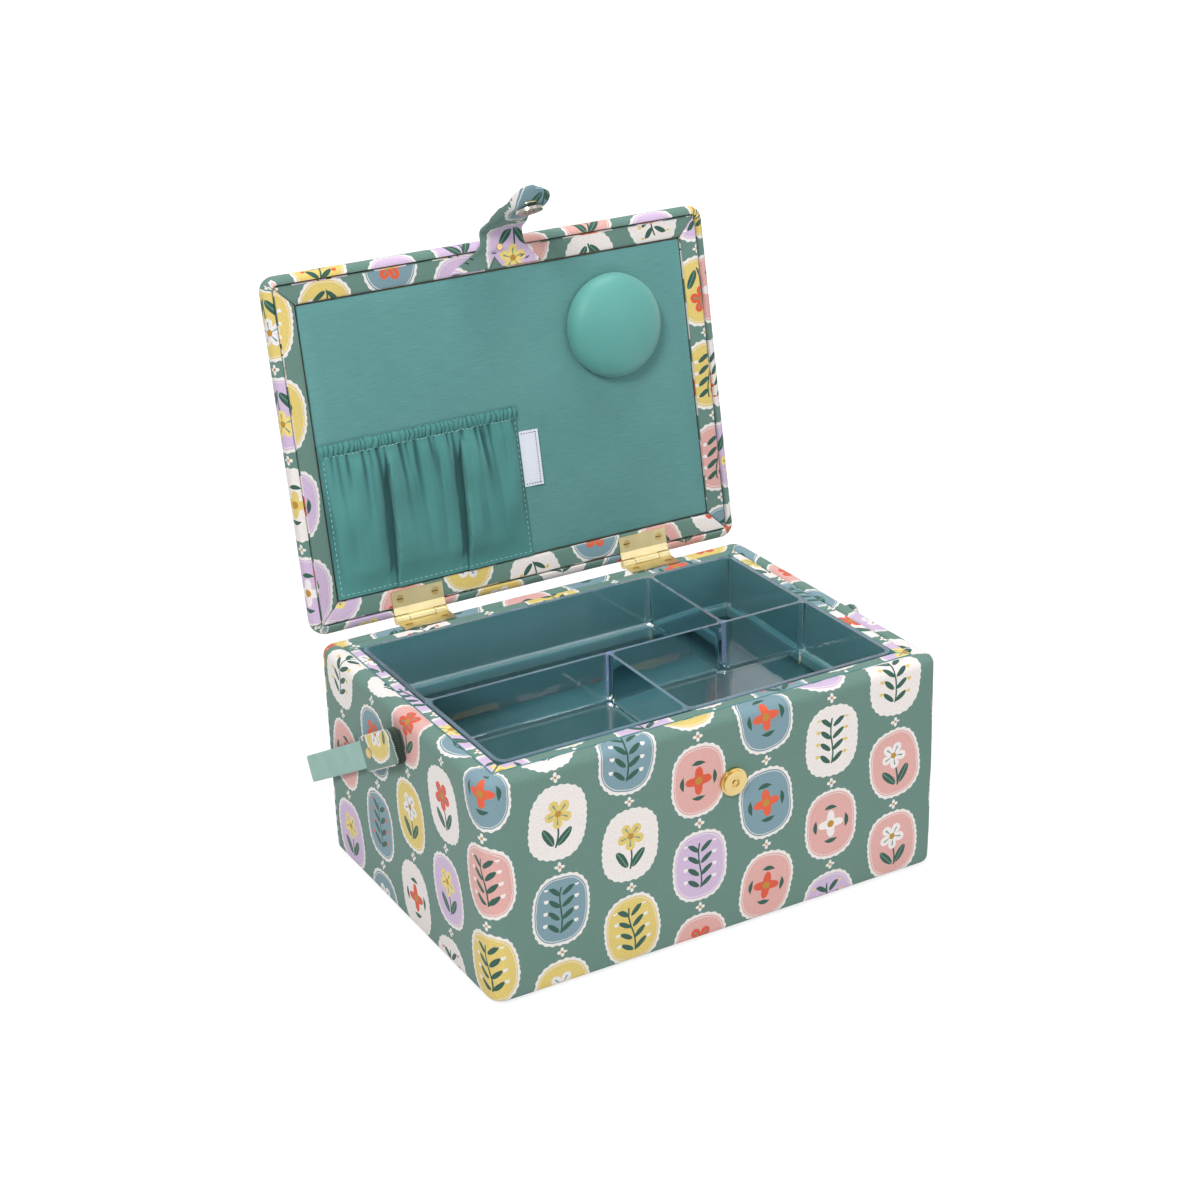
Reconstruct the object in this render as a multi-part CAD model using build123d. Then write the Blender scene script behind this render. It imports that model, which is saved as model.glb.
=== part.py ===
from build123d import *

import os
from math import cos, radians, sin, tan

# Sewing box with a hinged lid, a lift-out tray, a pocket and a pin cushion in the lid,
# a closure strap with a magnetic snap, and a folding handle. Millimetres, +Z up, the
# front faces -Y, and the origin is the middle of the underside. The lid is drawn shut,
# the strap hanging and the handle level, and all three are then turned to where they rest.

# Whole box
box_width = 260.0
box_depth = 188.0
base_height = 120.0
corner_radius = 8.0
lid_gap = 2.0
lid_height = 12.0
lid_open_angle = 100.0

# Base walls, from the outside in
cover_thickness = 4.0
cover_crown = 3.0
cover_lift = 1.2
cover_top_radius = 6.0
cover_foot_radius = 3.0
board_thickness = 4.0
hem_thickness = 2.0
rim_strip_width = 6.0
rim_strip_drop = 0.4
crease_radius = 1.0
underside_thickness = 2.0
underside_margin = 5.0
underside_radius = 6.0

# Lining and the ledge that carries the tray
lining_thickness = 4.0
floor_lining_thickness = 3.0
ledge_depth = 30.0
ledge_height = 6.0
ledge_width = 14.0

# Tray
tray_side_gap = 0.6
tray_seat_gap = 0.2
tray_top_drop = 0.2
tray_wall = 2.2
tray_floor = 1.8
tray_divider = 1.8
tray_draft = 1.5
tray_corner_radius = 5.0
tray_pocket_radius = 3.0
tray_floor_bevel = 1.0
cross_divider_y = 1.5
back_divider_x = 60.5
front_divider_x = -8.5

# Lid
lid_wrap_width = 4.5
lid_crown = 5.0
lid_outer_radius = 6.0
lid_inner_radius = 4.0
lid_board_thickness = 3.0
lid_frame_width = 11.5
lid_frame_recess = 0.9
lid_panel_recess = 1.5
lid_frame_radius = 0.6

# Pocket in the lid, its gathered top, and the blank label on its side seam
pocket_right = 1.5
pocket_foot_margin = 0.2
pocket_height = 83.0
pocket_seam_thickness = 0.8
pocket_belly_thickness = 2.0
pleat_width = 5.0
pleat_thickness = 1.6
header_height = 6.5
header_thickness = 2.2
header_groove = 0.9
ruffle_count = 36
label_width = 11.0
label_height = 30.0
label_thickness = 0.5
label_rise = 38.3
label_seam_gap = 0.2

# Pin cushion, placed from the lid's free corner
cushion_side_margin = 64.5
cushion_front_margin = 56.0
cushion_radius = 28.5
cushion_height = 16.0
cushion_edge_height = 2.0
cushion_bands = 9

# Hinges
hinge_margin = 60.5
hinge_width = 30.0
pin_overhang = 1.0
pin_radius = 1.1
knuckle_radius = 2.4
knuckle_length = 7.2
knuckle_gap = 0.3
pin_clearance_lid = 0.06
pin_clearance_base = 0.02
leaf_thickness = 0.9
leaf_clearance = 0.2
base_leaf_depth = 10.2
lid_leaf_margin = 1.6
lid_leaf_bend_margin = 1.1
lid_leaf_crank = 0.8
stop_tail_length = 4.6
screw_pitch = 20.5
screw_head_radius = 2.2
screw_shank_radius = 1.1
screw_hole_clearance = 0.05
screw_slot_width = 0.6
screw_slot_depth = 0.5
base_screw_length = 9.0
lid_screw_length = 6.0

# Magnetic snap on the front wall, and its other half on the strap
snap_drop = 35.6
snap_radius = 7.3
snap_ring_depth = 1.8
snap_disc_radius = 6.2
snap_disc_depth = 1.2
snap_hole_radius = 2.2
snap_post_radius = 1.2
snap_gap = 0.3
socket_depth = 1.6
socket_hole_radius = 3.0
socket_hole_depth = 0.8
cap_radius = 6.6
cap_depth = 1.2
cap_edge_bevel = 0.7

# Closure strap
strap_x = 5.0
strap_width = 25.0
strap_flare_width = 54.0
strap_flare_margin = 1.5
strap_root_thickness = 1.0
strap_step_run = 2.0
strap_notch_width = 8.0
strap_notch_depth = 6.0
strap_lid_clearance = 0.1
tongue_thickness = 2.0
tongue_end_margin = 12.5
strap_fold_clearance = 0.3
strap_rest_angle = 18.0
root_rivet_radius = 1.6
root_rivet_offset = -2.0
root_rivet_inset = 4.0
root_rivet_head = 0.6

# Handle, its fabric tabs, and the studs that carry them on the side walls
handle_pivot_y = -4.0
handle_pivot_drop = 17.0
handle_slope = 28.8
handle_width = 14.6
handle_thickness = 2.4
handle_back_reach = 34.8
handle_bend_radius = 25.0
handle_end_margin = 13.0
handle_edge_bevel = 0.5
tab_width = 18.0
tab_front = 7.0
tab_ply = 1.0
tab_wall_gap = 0.3
tab_strap_gap = 0.15
tab_corner_radius = 4.5
stud_shank_radius = 2.0
stud_head_radius = 4.2
stud_head_depth = 1.2
stud_clearance = 0.1
rivet_along = 31.7
rivet_back_margin = 9.7
rivet_shank_radius = 1.5
rivet_head_radius = 2.9
rivet_head_depth = 1.0
rivet_head_bevel = 0.6
rivet_tab_clearance = 0.02
rivet_strap_clearance = 0.1
open_pivot_clearance = 0.6

# How far a cut runs past the face that it opens
overshoot = 1.0

# Places worked out from the sizes above
half_width = box_width / 2
half_depth = box_depth / 2
board_inset = cover_thickness
hem_inset = board_inset + board_thickness
rim_inset = hem_inset + hem_thickness
tray_inset = rim_inset + rim_strip_width
lining_inset = hem_inset + lining_thickness
ledge_inset = hem_inset + ledge_width
board_foot = underside_thickness + board_thickness
board_top = base_height - cover_crown
ledge_top = base_height - ledge_depth
ledge_foot = ledge_top - ledge_height
rim_top = base_height - rim_strip_drop
lid_face = base_height + lid_gap
lid_top = lid_face + lid_height
frame_face = lid_face + lid_frame_recess
panel_face = lid_face + lid_panel_recess
lid_board_top = lid_top - lid_crown
lid_board_foot = lid_board_top - lid_board_thickness
panel_inset = lid_wrap_width + lid_frame_width
panel_x = half_width - panel_inset
panel_y = half_depth - panel_inset
hinge_x = half_width - hinge_margin
pin_y = half_depth + pin_overhang
pin_z = base_height + lid_gap / 2
snap_z = base_height - snap_drop
snap_face_y = -half_depth - snap_ring_depth - snap_disc_depth
tongue_inner_y = snap_face_y - snap_gap - socket_depth
tongue_outer_y = tongue_inner_y - tongue_thickness
strap_fold_y = tongue_inner_y - tongue_thickness / 2
strap_top = lid_face - strap_lid_clearance
strap_fold_z = strap_top - tongue_thickness / 2
handle_pivot_z = base_height - handle_pivot_drop
handle_reach = (half_depth + handle_back_reach - handle_pivot_y) / cos(radians(handle_slope))

parts = {}


def block(x, y, z):
    """A box between the low and high values of each axis."""
    size = [b - a for a, b in (x, y, z)]
    middle = [(a + b) / 2 for a, b in (x, y, z)]
    return Pos(*middle) * Box(*size)


def cylinder_x(radius, start, end, y, z):
    """A cylinder along X."""
    return Pos((start + end) / 2, y, z) * Rot(0, 90, 0) * Cylinder(radius, abs(end - start))


def cylinder_y(radius, start, end, x, z):
    """A cylinder along Y."""
    return Pos(x, (start + end) / 2, z) * Rot(90, 0, 0) * Cylinder(radius, abs(end - start))


def cylinder_z(radius, start, end, x, y):
    """An upright cylinder."""
    return Pos(x, y, (start + end) / 2) * Cylinder(radius, abs(end - start))


def prism_x(points, start, end):
    """A profile given as (y, z) points, extruded along X."""
    outline = make_face(Polyline(*[(start, y, z) for y, z in points], close=True))
    return extrude(outline, end - start, dir=(1, 0, 0))


def slab(inset, foot, top, radius=0.0):
    """The box's outline drawn in by an inset, as a slab between two heights."""
    width, depth = box_width - 2 * inset, box_depth - 2 * inset
    outline = RectangleRounded(width, depth, radius) if radius > 0 else Rectangle(width, depth)
    return extrude(Pos(0, 0, foot) * outline, top - foot)


def ring(outer_inset, inner_inset, foot, top):
    """A square-cornered band between two insets of the box's outline."""
    return slab(outer_inset, foot, top) - slab(inner_inset, foot - overshoot, top + overshoot)


def edges_at(shape, height):
    """The edges of a shape that lie flat at one height."""
    return [e for e in shape.edges() if all(abs(v.Z - height) < 1e-4 for v in e.vertices())]


def long_edges_at(shape, height, lengths):
    """The straight edges at one height that have one of the given lengths."""
    return [e for e in edges_at(shape, height) if any(abs(e.length - n) < 1e-3 for n in lengths)]


def mitred(name, outer_inset, inner_inset, foot, top, edge=0.0, edge_level=0.0):
    """Four strips that meet at 45 degrees in the corners, their long edges eased at one level."""
    x0, x1 = half_width - outer_inset, half_width - inner_inset
    y0, y1 = half_depth - outer_inset, half_depth - inner_inset
    outlines = {
        "front": [(-x0, -y0), (x0, -y0), (x1, -y1), (-x1, -y1)],
        "back": [(-x1, y1), (x1, y1), (x0, y0), (-x0, y0)],
        "left": [(-x0, -y0), (-x1, -y1), (-x1, y1), (-x0, y0)],
        "right": [(x0, -y0), (x0, y0), (x1, y1), (x1, -y1)],
    }
    for side, corners in outlines.items():
        strip = extrude(Pos(0, 0, foot) * make_face(Polyline(*corners, close=True)), top - foot)
        if edge > 0:
            strip = fillet(long_edges_at(strip, edge_level, (2 * x0, 2 * x1, 2 * y0, 2 * y1)), edge)
        parts[f"{name}_{side}"] = strip


def drafted(x, y, foot, top, radius):
    """A rounded block that widens upwards and has the given size at its top."""
    run = (top - foot) * tan(radians(tray_draft))
    width, depth = x[1] - x[0] - 2 * run, y[1] - y[0] - 2 * run
    outline = Pos((x[0] + x[1]) / 2, (y[0] + y[1]) / 2, foot) * RectangleRounded(width, depth, radius)
    return extrude(outline, top - foot, taper=-tray_draft)


def screw(length, clearance=0.0, slotted=True):
    """A countersunk screw that points down from the origin, or the hole that it leaves."""
    head_radius = screw_head_radius + clearance
    shank_radius = screw_shank_radius + clearance
    head = Pos(0, 0, -leaf_thickness / 2) * Cone(shank_radius, head_radius, leaf_thickness)
    shape = head + cylinder_z(shank_radius, -length - clearance, -leaf_thickness / 2, 0, 0)
    if slotted:
        across = (-screw_slot_width / 2, screw_slot_width / 2)
        shape -= block((-head_radius, head_radius), across, (-screw_slot_depth, screw_slot_depth))
    return shape


# Base boards
def make_base_boards():
    """Bottom board with the four wall boards standing on it."""
    outer_x, inner_x = half_width - board_inset, half_width - hem_inset
    outer_y, inner_y = half_depth - board_inset, half_depth - hem_inset
    upright = (board_foot, board_top)
    parts["bottom_board"] = slab(board_inset, underside_thickness, board_foot)
    parts["front_board"] = block((-outer_x, outer_x), (-outer_y, -inner_y), upright)
    parts["back_board"] = block((-outer_x, outer_x), (inner_y, outer_y), upright)
    parts["left_board"] = block((-outer_x, -inner_x), (-inner_y, inner_y), upright)
    parts["right_board"] = block((inner_x, outer_x), (-inner_y, inner_y), upright)


# Padded cover over the boards, turned in over the rim down to the ledge, and the underside
def make_base_cover():
    """Wadding and cloth as one skin with soft edges, and the flat panel under the box."""
    cover = slab(0, cover_lift, base_height, corner_radius)
    cover = fillet(edges_at(cover, base_height), cover_top_radius)
    cover = fillet(edges_at(cover, cover_lift), cover_foot_radius)
    cover -= slab(board_inset, 0, ledge_top)
    cover -= ring(board_inset, hem_inset, ledge_top - overshoot, board_top)
    cover -= slab(rim_inset, 0, base_height + overshoot)
    crease = long_edges_at(cover, base_height, (box_width - 2 * rim_inset, box_depth - 2 * rim_inset))
    parts["padded_base_cover"] = fillet(crease, crease_radius)
    parts["underside_panel"] = slab(underside_margin, 0, underside_thickness, underside_radius)


# Inside of the base
def make_lining():
    """Printed rim strips, the ledge under them, and the cloth-covered linings below."""
    mitred("rim_strip", rim_inset, tray_inset, ledge_top, rim_top, crease_radius, rim_top)
    mitred("tray_ledge", hem_inset, ledge_inset, ledge_foot, ledge_top)
    mitred("side_lining", hem_inset, lining_inset, board_foot, ledge_foot)
    parts["floor_lining"] = slab(lining_inset, board_foot, board_foot + floor_lining_thickness)


# Clear moulded tray
def make_tray():
    """One drafted shell with four drafted compartments round three dividers."""
    foot = ledge_top + tray_seat_gap
    top = base_height - tray_top_drop
    outer_x = half_width - tray_inset - tray_side_gap
    outer_y = half_depth - tray_inset - tray_side_gap
    inner_x, inner_y = outer_x - tray_wall, outer_y - tray_wall
    half = tray_divider / 2
    compartments = [
        ((-inner_x, back_divider_x - half), (cross_divider_y + half, inner_y)),
        ((back_divider_x + half, inner_x), (cross_divider_y + half, inner_y)),
        ((-inner_x, front_divider_x - half), (-inner_y, cross_divider_y - half)),
        ((front_divider_x + half, inner_x), (-inner_y, cross_divider_y - half)),
    ]
    tray = drafted((-outer_x, outer_x), (-outer_y, outer_y), foot, top, tray_corner_radius)
    for x, y in compartments:
        hollow = drafted(x, y, foot + tray_floor, top, tray_pocket_radius)
        tray -= chamfer(edges_at(hollow, foot + tray_floor), tray_floor_bevel)
    parts["clear_tray"] = tray


# Magnetic snap on the front wall
def make_wall_snap():
    """A ring seated on the cloth, a disc with a hole in front of it, and the post in the hole."""
    ring_face_y = -half_depth - snap_ring_depth
    body = cylinder_y(snap_radius, -half_depth, ring_face_y, strap_x, snap_z)
    body -= cylinder_y(snap_post_radius, -half_depth + overshoot, ring_face_y - overshoot, strap_x, snap_z)
    parts["wall_snap_ring"] = body
    disc = cylinder_y(snap_disc_radius, ring_face_y, snap_face_y, strap_x, snap_z)
    disc -= cylinder_y(snap_hole_radius, ring_face_y + overshoot, snap_face_y - overshoot, strap_x, snap_z)
    parts["wall_snap_disc"] = disc
    parts["wall_snap_post"] = cylinder_y(snap_post_radius, -half_depth, snap_face_y, strap_x, snap_z)


# Hinges
knuckle_front = pin_y - knuckle_radius - knuckle_gap
base_leaf_top = base_height + leaf_thickness
base_screw_y = half_depth - board_inset - board_thickness / 2
lid_leaf_face = frame_face - leaf_thickness
lid_leaf_front = panel_y + lid_leaf_margin
lid_leaf_bend = half_depth - lid_wrap_width - lid_leaf_bend_margin
lid_leaf_foot_face = lid_leaf_face - lid_leaf_crank
lid_screw_y = (lid_leaf_front + lid_leaf_bend) / 2
screw_places = [side * hinge_x + end * screw_pitch / 2 for side in (-1, 1) for end in (-1, 1)]


def base_leaf(middle):
    """The plate screwed to the rim, with the hinge's two outer knuckles."""
    ends = (middle - hinge_width / 2, middle + hinge_width / 2)
    outer = [(ends[0], ends[0] + knuckle_length), (ends[1] - knuckle_length, ends[1])]
    leaf = block(ends, (half_depth - base_leaf_depth, knuckle_front), (base_height, base_leaf_top))
    for a, b in outer:
        leaf += block((a, b), (knuckle_front - overshoot, pin_y), (base_height, base_leaf_top))
        leaf += cylinder_x(knuckle_radius, a, b, pin_y, pin_z)
    bore_radius = pin_radius + pin_clearance_base
    return leaf - cylinder_x(bore_radius, ends[0] - overshoot, ends[1] + overshoot, pin_y, pin_z)


def lid_leaf(middle):
    """The cranked plate on the lid, with the middle knuckle and the tail that stops the lid."""
    ends = (middle - hinge_width / 2, middle + hinge_width / 2)
    inner = (ends[0] + knuckle_length + knuckle_gap, ends[1] - knuckle_length - knuckle_gap)
    foot_z = (lid_leaf_foot_face, lid_leaf_foot_face + leaf_thickness)
    leaf = block(ends, (lid_leaf_front, lid_leaf_bend), (lid_leaf_face, frame_face))
    leaf += prism_x([(lid_leaf_bend, lid_leaf_face), (knuckle_front, foot_z[0]),
                     (knuckle_front, foot_z[1]), (lid_leaf_bend, frame_face)], *ends)
    leaf += block(inner, (knuckle_front, pin_y), foot_z)
    leaf += block(inner, (pin_y, pin_y + stop_tail_length),
                  (pin_z - leaf_thickness / 2, pin_z + leaf_thickness / 2))
    leaf += cylinder_x(knuckle_radius, *inner, pin_y, pin_z)
    bore_radius = pin_radius + pin_clearance_lid
    return leaf - cylinder_x(bore_radius, ends[0] - overshoot, ends[1] + overshoot, pin_y, pin_z)


def make_hinges():
    """Both hinges with their pins and screws, and the screw holes in what they go through."""
    base_turns = [Pos(x, base_screw_y, base_leaf_top) for x in screw_places]
    lid_turns = [Pos(x, lid_screw_y, lid_leaf_face) * Rot(180, 0, 0) for x in screw_places]
    base_holes = [turn * screw(base_screw_length, screw_hole_clearance, False) for turn in base_turns]
    lid_holes = [turn * screw(lid_screw_length, screw_hole_clearance, False) for turn in lid_turns]
    for side, middle in (("left", -hinge_x), ("right", hinge_x)):
        parts[f"base_hinge_leaf_{side}"] = base_leaf(middle)
        parts[f"lid_hinge_leaf_{side}"] = lid_leaf(middle)
        parts[f"hinge_pin_{side}"] = cylinder_x(pin_radius, middle - hinge_width / 2,
                                                middle + hinge_width / 2, pin_y, pin_z)
    for name in ("padded_base_cover", "back_board"):
        for hole in base_holes:
            parts[name] -= hole
    for name in ("lid_frame_back", "lid_board"):
        for hole in lid_holes:
            parts[name] -= hole
    for index, side in enumerate(("left", "left", "right", "right")):
        parts[f"base_hinge_leaf_{side}"] -= base_holes[index]
        parts[f"lid_hinge_leaf_{side}"] -= lid_holes[index]
    parts["base_hinge_screws"] = Compound(children=[turn * screw(base_screw_length) for turn in base_turns])
    parts["lid_hinge_screws"] = Compound(children=[turn * screw(lid_screw_length) for turn in lid_turns])


# Lid, drawn shut
def make_lid():
    """Padded cover with a dent for each hinge, the board in it, the mitred frame and the panel."""
    cover = slab(0, lid_face, lid_top, corner_radius)
    cover = fillet(edges_at(cover, lid_top), lid_outer_radius)
    cover = fillet(edges_at(cover, lid_face), lid_inner_radius)
    cover -= slab(lid_wrap_width, lid_face - overshoot, lid_board_top)
    half = hinge_width / 2 + leaf_clearance
    foot_top = lid_leaf_foot_face + leaf_thickness + leaf_clearance
    dent_foot = lid_leaf_foot_face - overshoot
    dent = [(lid_leaf_bend, dent_foot), (lid_leaf_bend, frame_face + leaf_clearance),
            (knuckle_front, foot_top), (pin_y, foot_top), (pin_y, dent_foot)]
    for middle in (-hinge_x, hinge_x):
        cover -= prism_x(dent, middle - half, middle + half)
    parts["padded_lid_cover"] = cover
    parts["lid_board"] = slab(lid_wrap_width, lid_board_foot, lid_board_top)
    mitred("lid_frame", lid_wrap_width, panel_inset, frame_face, lid_board_foot, lid_frame_radius, frame_face)
    parts["lid_panel"] = slab(panel_inset, panel_face, lid_board_foot)


# Pocket in the lid
def make_pocket():
    """Three bellied compartments between flat pleats, the gathered top and the blank label."""
    left = -panel_x
    foot_y = panel_y - pocket_foot_margin
    third = (pocket_right - left) / 3
    seams = [left, left + third, left + 2 * third, pocket_right]
    seam_z = panel_face - pocket_seam_thickness
    pleat_z = panel_face - pleat_thickness
    lines = [Polyline((pocket_right, seam_z), (pocket_right, panel_face), (left, panel_face), (left, seam_z))]
    for index, (start, end) in enumerate(zip(seams, seams[1:])):
        if index > 0:
            lines.append(Polyline((start, seam_z), (start, pleat_z), (start + pleat_width, pleat_z),
                                  (start + pleat_width, seam_z)))
            start += pleat_width
        belly = ((start + end) / 2, panel_face - pocket_belly_thickness)
        lines.append(ThreePointArc((start, seam_z), belly, (end, seam_z)))
    body = extrude(make_face(lines), pocket_height - header_height)
    parts["lid_pocket"] = Pos(0, foot_y, 0) * Rot(90, 0, 0) * body

    pitch = (pocket_right - left) / ruffle_count
    groove_z = panel_face - header_thickness + header_groove
    crest_z = panel_face - header_thickness
    ruffles = [Polyline((pocket_right, groove_z), (pocket_right, panel_face), (left, panel_face),
                        (left, groove_z))]
    for index in range(ruffle_count):
        start = left + index * pitch
        crest = (start + pitch / 2, crest_z)
        ruffles.append(Polyline((start, groove_z), crest, (start + pitch, groove_z)))
    header = extrude(make_face(ruffles), header_height)
    parts["pocket_elastic"] = Pos(0, foot_y - pocket_height + header_height, 0) * Rot(90, 0, 0) * header

    label_x = pocket_right + label_seam_gap
    label_y = foot_y - label_rise
    parts["blank_label"] = block((label_x, label_x + label_width), (label_y - label_height, label_y),
                                 (panel_face - label_thickness, panel_face))


# Pin cushion
def make_pin_cushion():
    """A turned dome with a short upright edge, hung from the lid's panel."""
    rise = cushion_height - cushion_edge_height
    turns = [i * 90 / cushion_bands for i in range(cushion_bands + 1)]
    crown = [(cushion_radius * cos(radians(a)), cushion_edge_height + rise * sin(radians(a))) for a in turns]
    profile = Polyline((0, 0), (cushion_radius, 0), *crown[:-1], (0, cushion_height), close=True)
    dome = revolve(Plane.XZ * make_face(profile), Axis.Z, 360)
    place = Pos(half_width - cushion_side_margin, -half_depth + cushion_front_margin, panel_face)
    parts["pin_cushion"] = place * Rot(180, 0, 0) * dome


# Closure strap: the flared root sewn to the lid's frame
def make_strap_root():
    """The root steps from the frame over the lid's edge and narrows to the strap."""
    flare_y = -panel_y - strap_flare_margin
    end_y = strap_fold_y + tongue_thickness / 2 + strap_fold_clearance
    step_end = -half_depth + lid_wrap_width
    step_start = step_end + strap_step_run
    upper = [(flare_y, frame_face), (step_start, frame_face), (step_end, strap_top), (end_y, strap_top)]
    lower = [(y, z - strap_root_thickness) for y, z in reversed(upper)]
    side_view = prism_x(upper + lower, -box_width / 2, box_width / 2)
    flare, neck, notch = strap_flare_width / 2, strap_width / 2, strap_notch_width / 2
    outline = [(-flare, flare_y), (-notch, flare_y), (0, flare_y - strap_notch_depth), (notch, flare_y),
               (flare, flare_y), (strap_x + neck, -half_depth), (strap_x + neck, end_y),
               (strap_x - neck, end_y), (strap_x - neck, -half_depth)]
    plan = extrude(Pos(0, 0, base_height) * make_face(Polyline(*outline, close=True)), lid_height)
    parts["strap_root"] = side_view & plan
    rivet_top = strap_top - strap_root_thickness
    parts["strap_root_rivet"] = cylinder_z(root_rivet_radius, rivet_top - root_rivet_head, rivet_top,
                                           strap_x + root_rivet_offset, -half_depth + root_rivet_inset)


# Closure strap: the tongue that folds at the lid's edge, drawn hanging straight down
def make_strap_tongue():
    """A round-ended tongue with the socket on its inner face and the cap on its outer face."""
    neck = strap_width / 2
    sides = (strap_x - neck, strap_x + neck)
    round_z = snap_z - tongue_end_margin + neck
    tongue = block(sides, (tongue_outer_y, tongue_inner_y), (round_z, strap_fold_z))
    tongue += cylinder_y(neck, tongue_outer_y, tongue_inner_y, strap_x, round_z)
    tongue += cylinder_x(tongue_thickness / 2, *sides, strap_fold_y, strap_fold_z)
    parts["strap_tongue"] = tongue
    socket_face_y = tongue_inner_y + socket_depth
    socket = cylinder_y(snap_radius, tongue_inner_y, socket_face_y, strap_x, snap_z)
    socket -= cylinder_y(socket_hole_radius, socket_face_y - socket_hole_depth, socket_face_y + overshoot,
                         strap_x, snap_z)
    parts["strap_snap_socket"] = socket
    cap = cylinder_y(cap_radius, tongue_outer_y - cap_depth, tongue_outer_y, strap_x, snap_z)
    parts["strap_snap_cap"] = chamfer(cap.edges().group_by(Axis.Y)[0], cap_edge_bevel)


# Handle and its tabs, drawn level with +Y along the arms from the pivot
arm_inner_x = half_width + tab_wall_gap + tab_ply + tab_strap_gap
arm_outer_x = arm_inner_x + handle_thickness
tab_inner_x = half_width + tab_wall_gap
tab_outer_x = arm_outer_x + tab_strap_gap + tab_ply
tab_back = rivet_along + rivet_back_margin
handle_at_rest = Pos(0, handle_pivot_y, handle_pivot_z) * Rot(-handle_slope, 0, 0)


def bail_plan(x, reach, bend):
    """The area inside a U of half width x that reaches back to the given length."""
    start = rivet_along - handle_end_margin
    outline = Pos(0, (start + reach) / 2) * Rectangle(2 * x, reach - start)
    return fillet(outline.vertices().group_by(Axis.Y)[-1], bend)


def make_handle_strap():
    """A flat strap bent to a U, with a hole for the rivet in each end."""
    plan = bail_plan(arm_outer_x, handle_reach, handle_bend_radius + handle_thickness / 2)
    plan -= bail_plan(arm_inner_x, handle_reach - handle_thickness, handle_bend_radius - handle_thickness / 2)
    bail = extrude(Pos(0, 0, -handle_width / 2) * plan, handle_width)
    rims = bail.edges().group_by(Axis.Z)
    bail = chamfer(rims[0] + rims[-1], handle_edge_bevel)
    ends = (arm_inner_x - overshoot, arm_outer_x + overshoot)
    for side, clearance in ((-1, rivet_strap_clearance), (1, open_pivot_clearance)):
        bail -= cylinder_x(rivet_shank_radius + clearance, side * ends[0], side * ends[1], rivet_along, 0)
    parts["handle_strap"] = handle_at_rest * bail


def fabric_tab():
    """Cloth folded back on itself round the front end, with both rivets' holes, on the right."""
    middle_x = (tab_inner_x + tab_outer_x) / 2
    fold = (tab_outer_x - tab_inner_x) / 2
    turn_y = -tab_front + fold
    loop = Pos(middle_x, (turn_y + tab_back) / 2) * Rectangle(2 * fold, tab_back - turn_y)
    loop += Pos(middle_x, turn_y) * Circle(fold)
    open_end = tab_back + overshoot
    inside = Pos(middle_x, (turn_y + open_end) / 2) * Rectangle(2 * (fold - tab_ply), open_end - turn_y)
    inside += Pos(middle_x, turn_y) * Circle(fold - tab_ply)
    tab = extrude(Pos(0, 0, -tab_width / 2) * (loop - inside), tab_width)
    side = Pos(0, (tab_back - tab_front) / 2) * Rectangle(tab_width, tab_back + tab_front)
    side = fillet(side.vertices().group_by(Axis.Y)[0], tab_corner_radius)
    tab &= extrude(Rot(0, 90, 0) * side, tab_outer_x + overshoot)
    tab -= cylinder_x(stud_shank_radius + stud_clearance, half_width, middle_x, 0, 0)
    rivet_hole_radius = rivet_shank_radius + rivet_tab_clearance
    return tab - cylinder_x(rivet_hole_radius, half_width, tab_outer_x + overshoot, rivet_along, 0)


def make_tabs():
    """Both tabs, each with its rivet through the strap and its stud on the side wall."""
    head_x = tab_inner_x + tab_ply + tab_wall_gap
    stud = cylinder_x(stud_shank_radius, half_width, head_x, 0, 0)
    stud += cylinder_x(stud_head_radius, head_x, head_x + stud_head_depth, 0, 0)
    rivet = cylinder_x(rivet_shank_radius, tab_inner_x, tab_outer_x, rivet_along, 0)
    head = cylinder_x(rivet_head_radius, tab_outer_x, tab_outer_x + rivet_head_depth, rivet_along, 0)
    rivet += chamfer(head.edges().group_by(Axis.X)[-1], rivet_head_bevel)
    for name, shape in (("handle_tab", fabric_tab()), ("handle_rivet", rivet), ("wall_stud", stud)):
        parts[f"{name}_right"] = handle_at_rest * shape
        parts[f"{name}_left"] = handle_at_rest * mirror(shape, Plane.YZ)


make_base_boards()
make_base_cover()
make_lining()
make_tray()
make_wall_snap()
base_nodes = set(parts)
make_lid()
make_pocket()
make_pin_cushion()
make_strap_root()
make_strap_tongue()
make_hinges()

# The strap turns to its resting angle, and then everything on the lid opens with it
strap_nodes = ["strap_tongue", "strap_snap_socket", "strap_snap_cap"]
fold_axis = Axis((0, strap_fold_y, strap_fold_z), (-1, 0, 0))
for node in strap_nodes:
    parts[node] = parts[node].rotate(fold_axis, strap_rest_angle)
lid_axis = Axis((0, pin_y, pin_z), (-1, 0, 0))
for node in parts:
    if node not in base_nodes and not node.startswith(("base_hinge", "hinge_pin")):
        parts[node] = parts[node].rotate(lid_axis, lid_open_angle)

make_handle_strap()
make_tabs()

os.makedirs("parts", exist_ok=True)
for node, shape in parts.items():
    shape.label = node
    export_step(shape, f"parts/{node}.step")
print(len(parts), "parts")
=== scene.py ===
import logging
import math
from dataclasses import dataclass, field
from enum import Enum
from typing import Callable, Iterable, Optional, Sequence

import bpy
from mathutils import Matrix, Vector, noise


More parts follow.
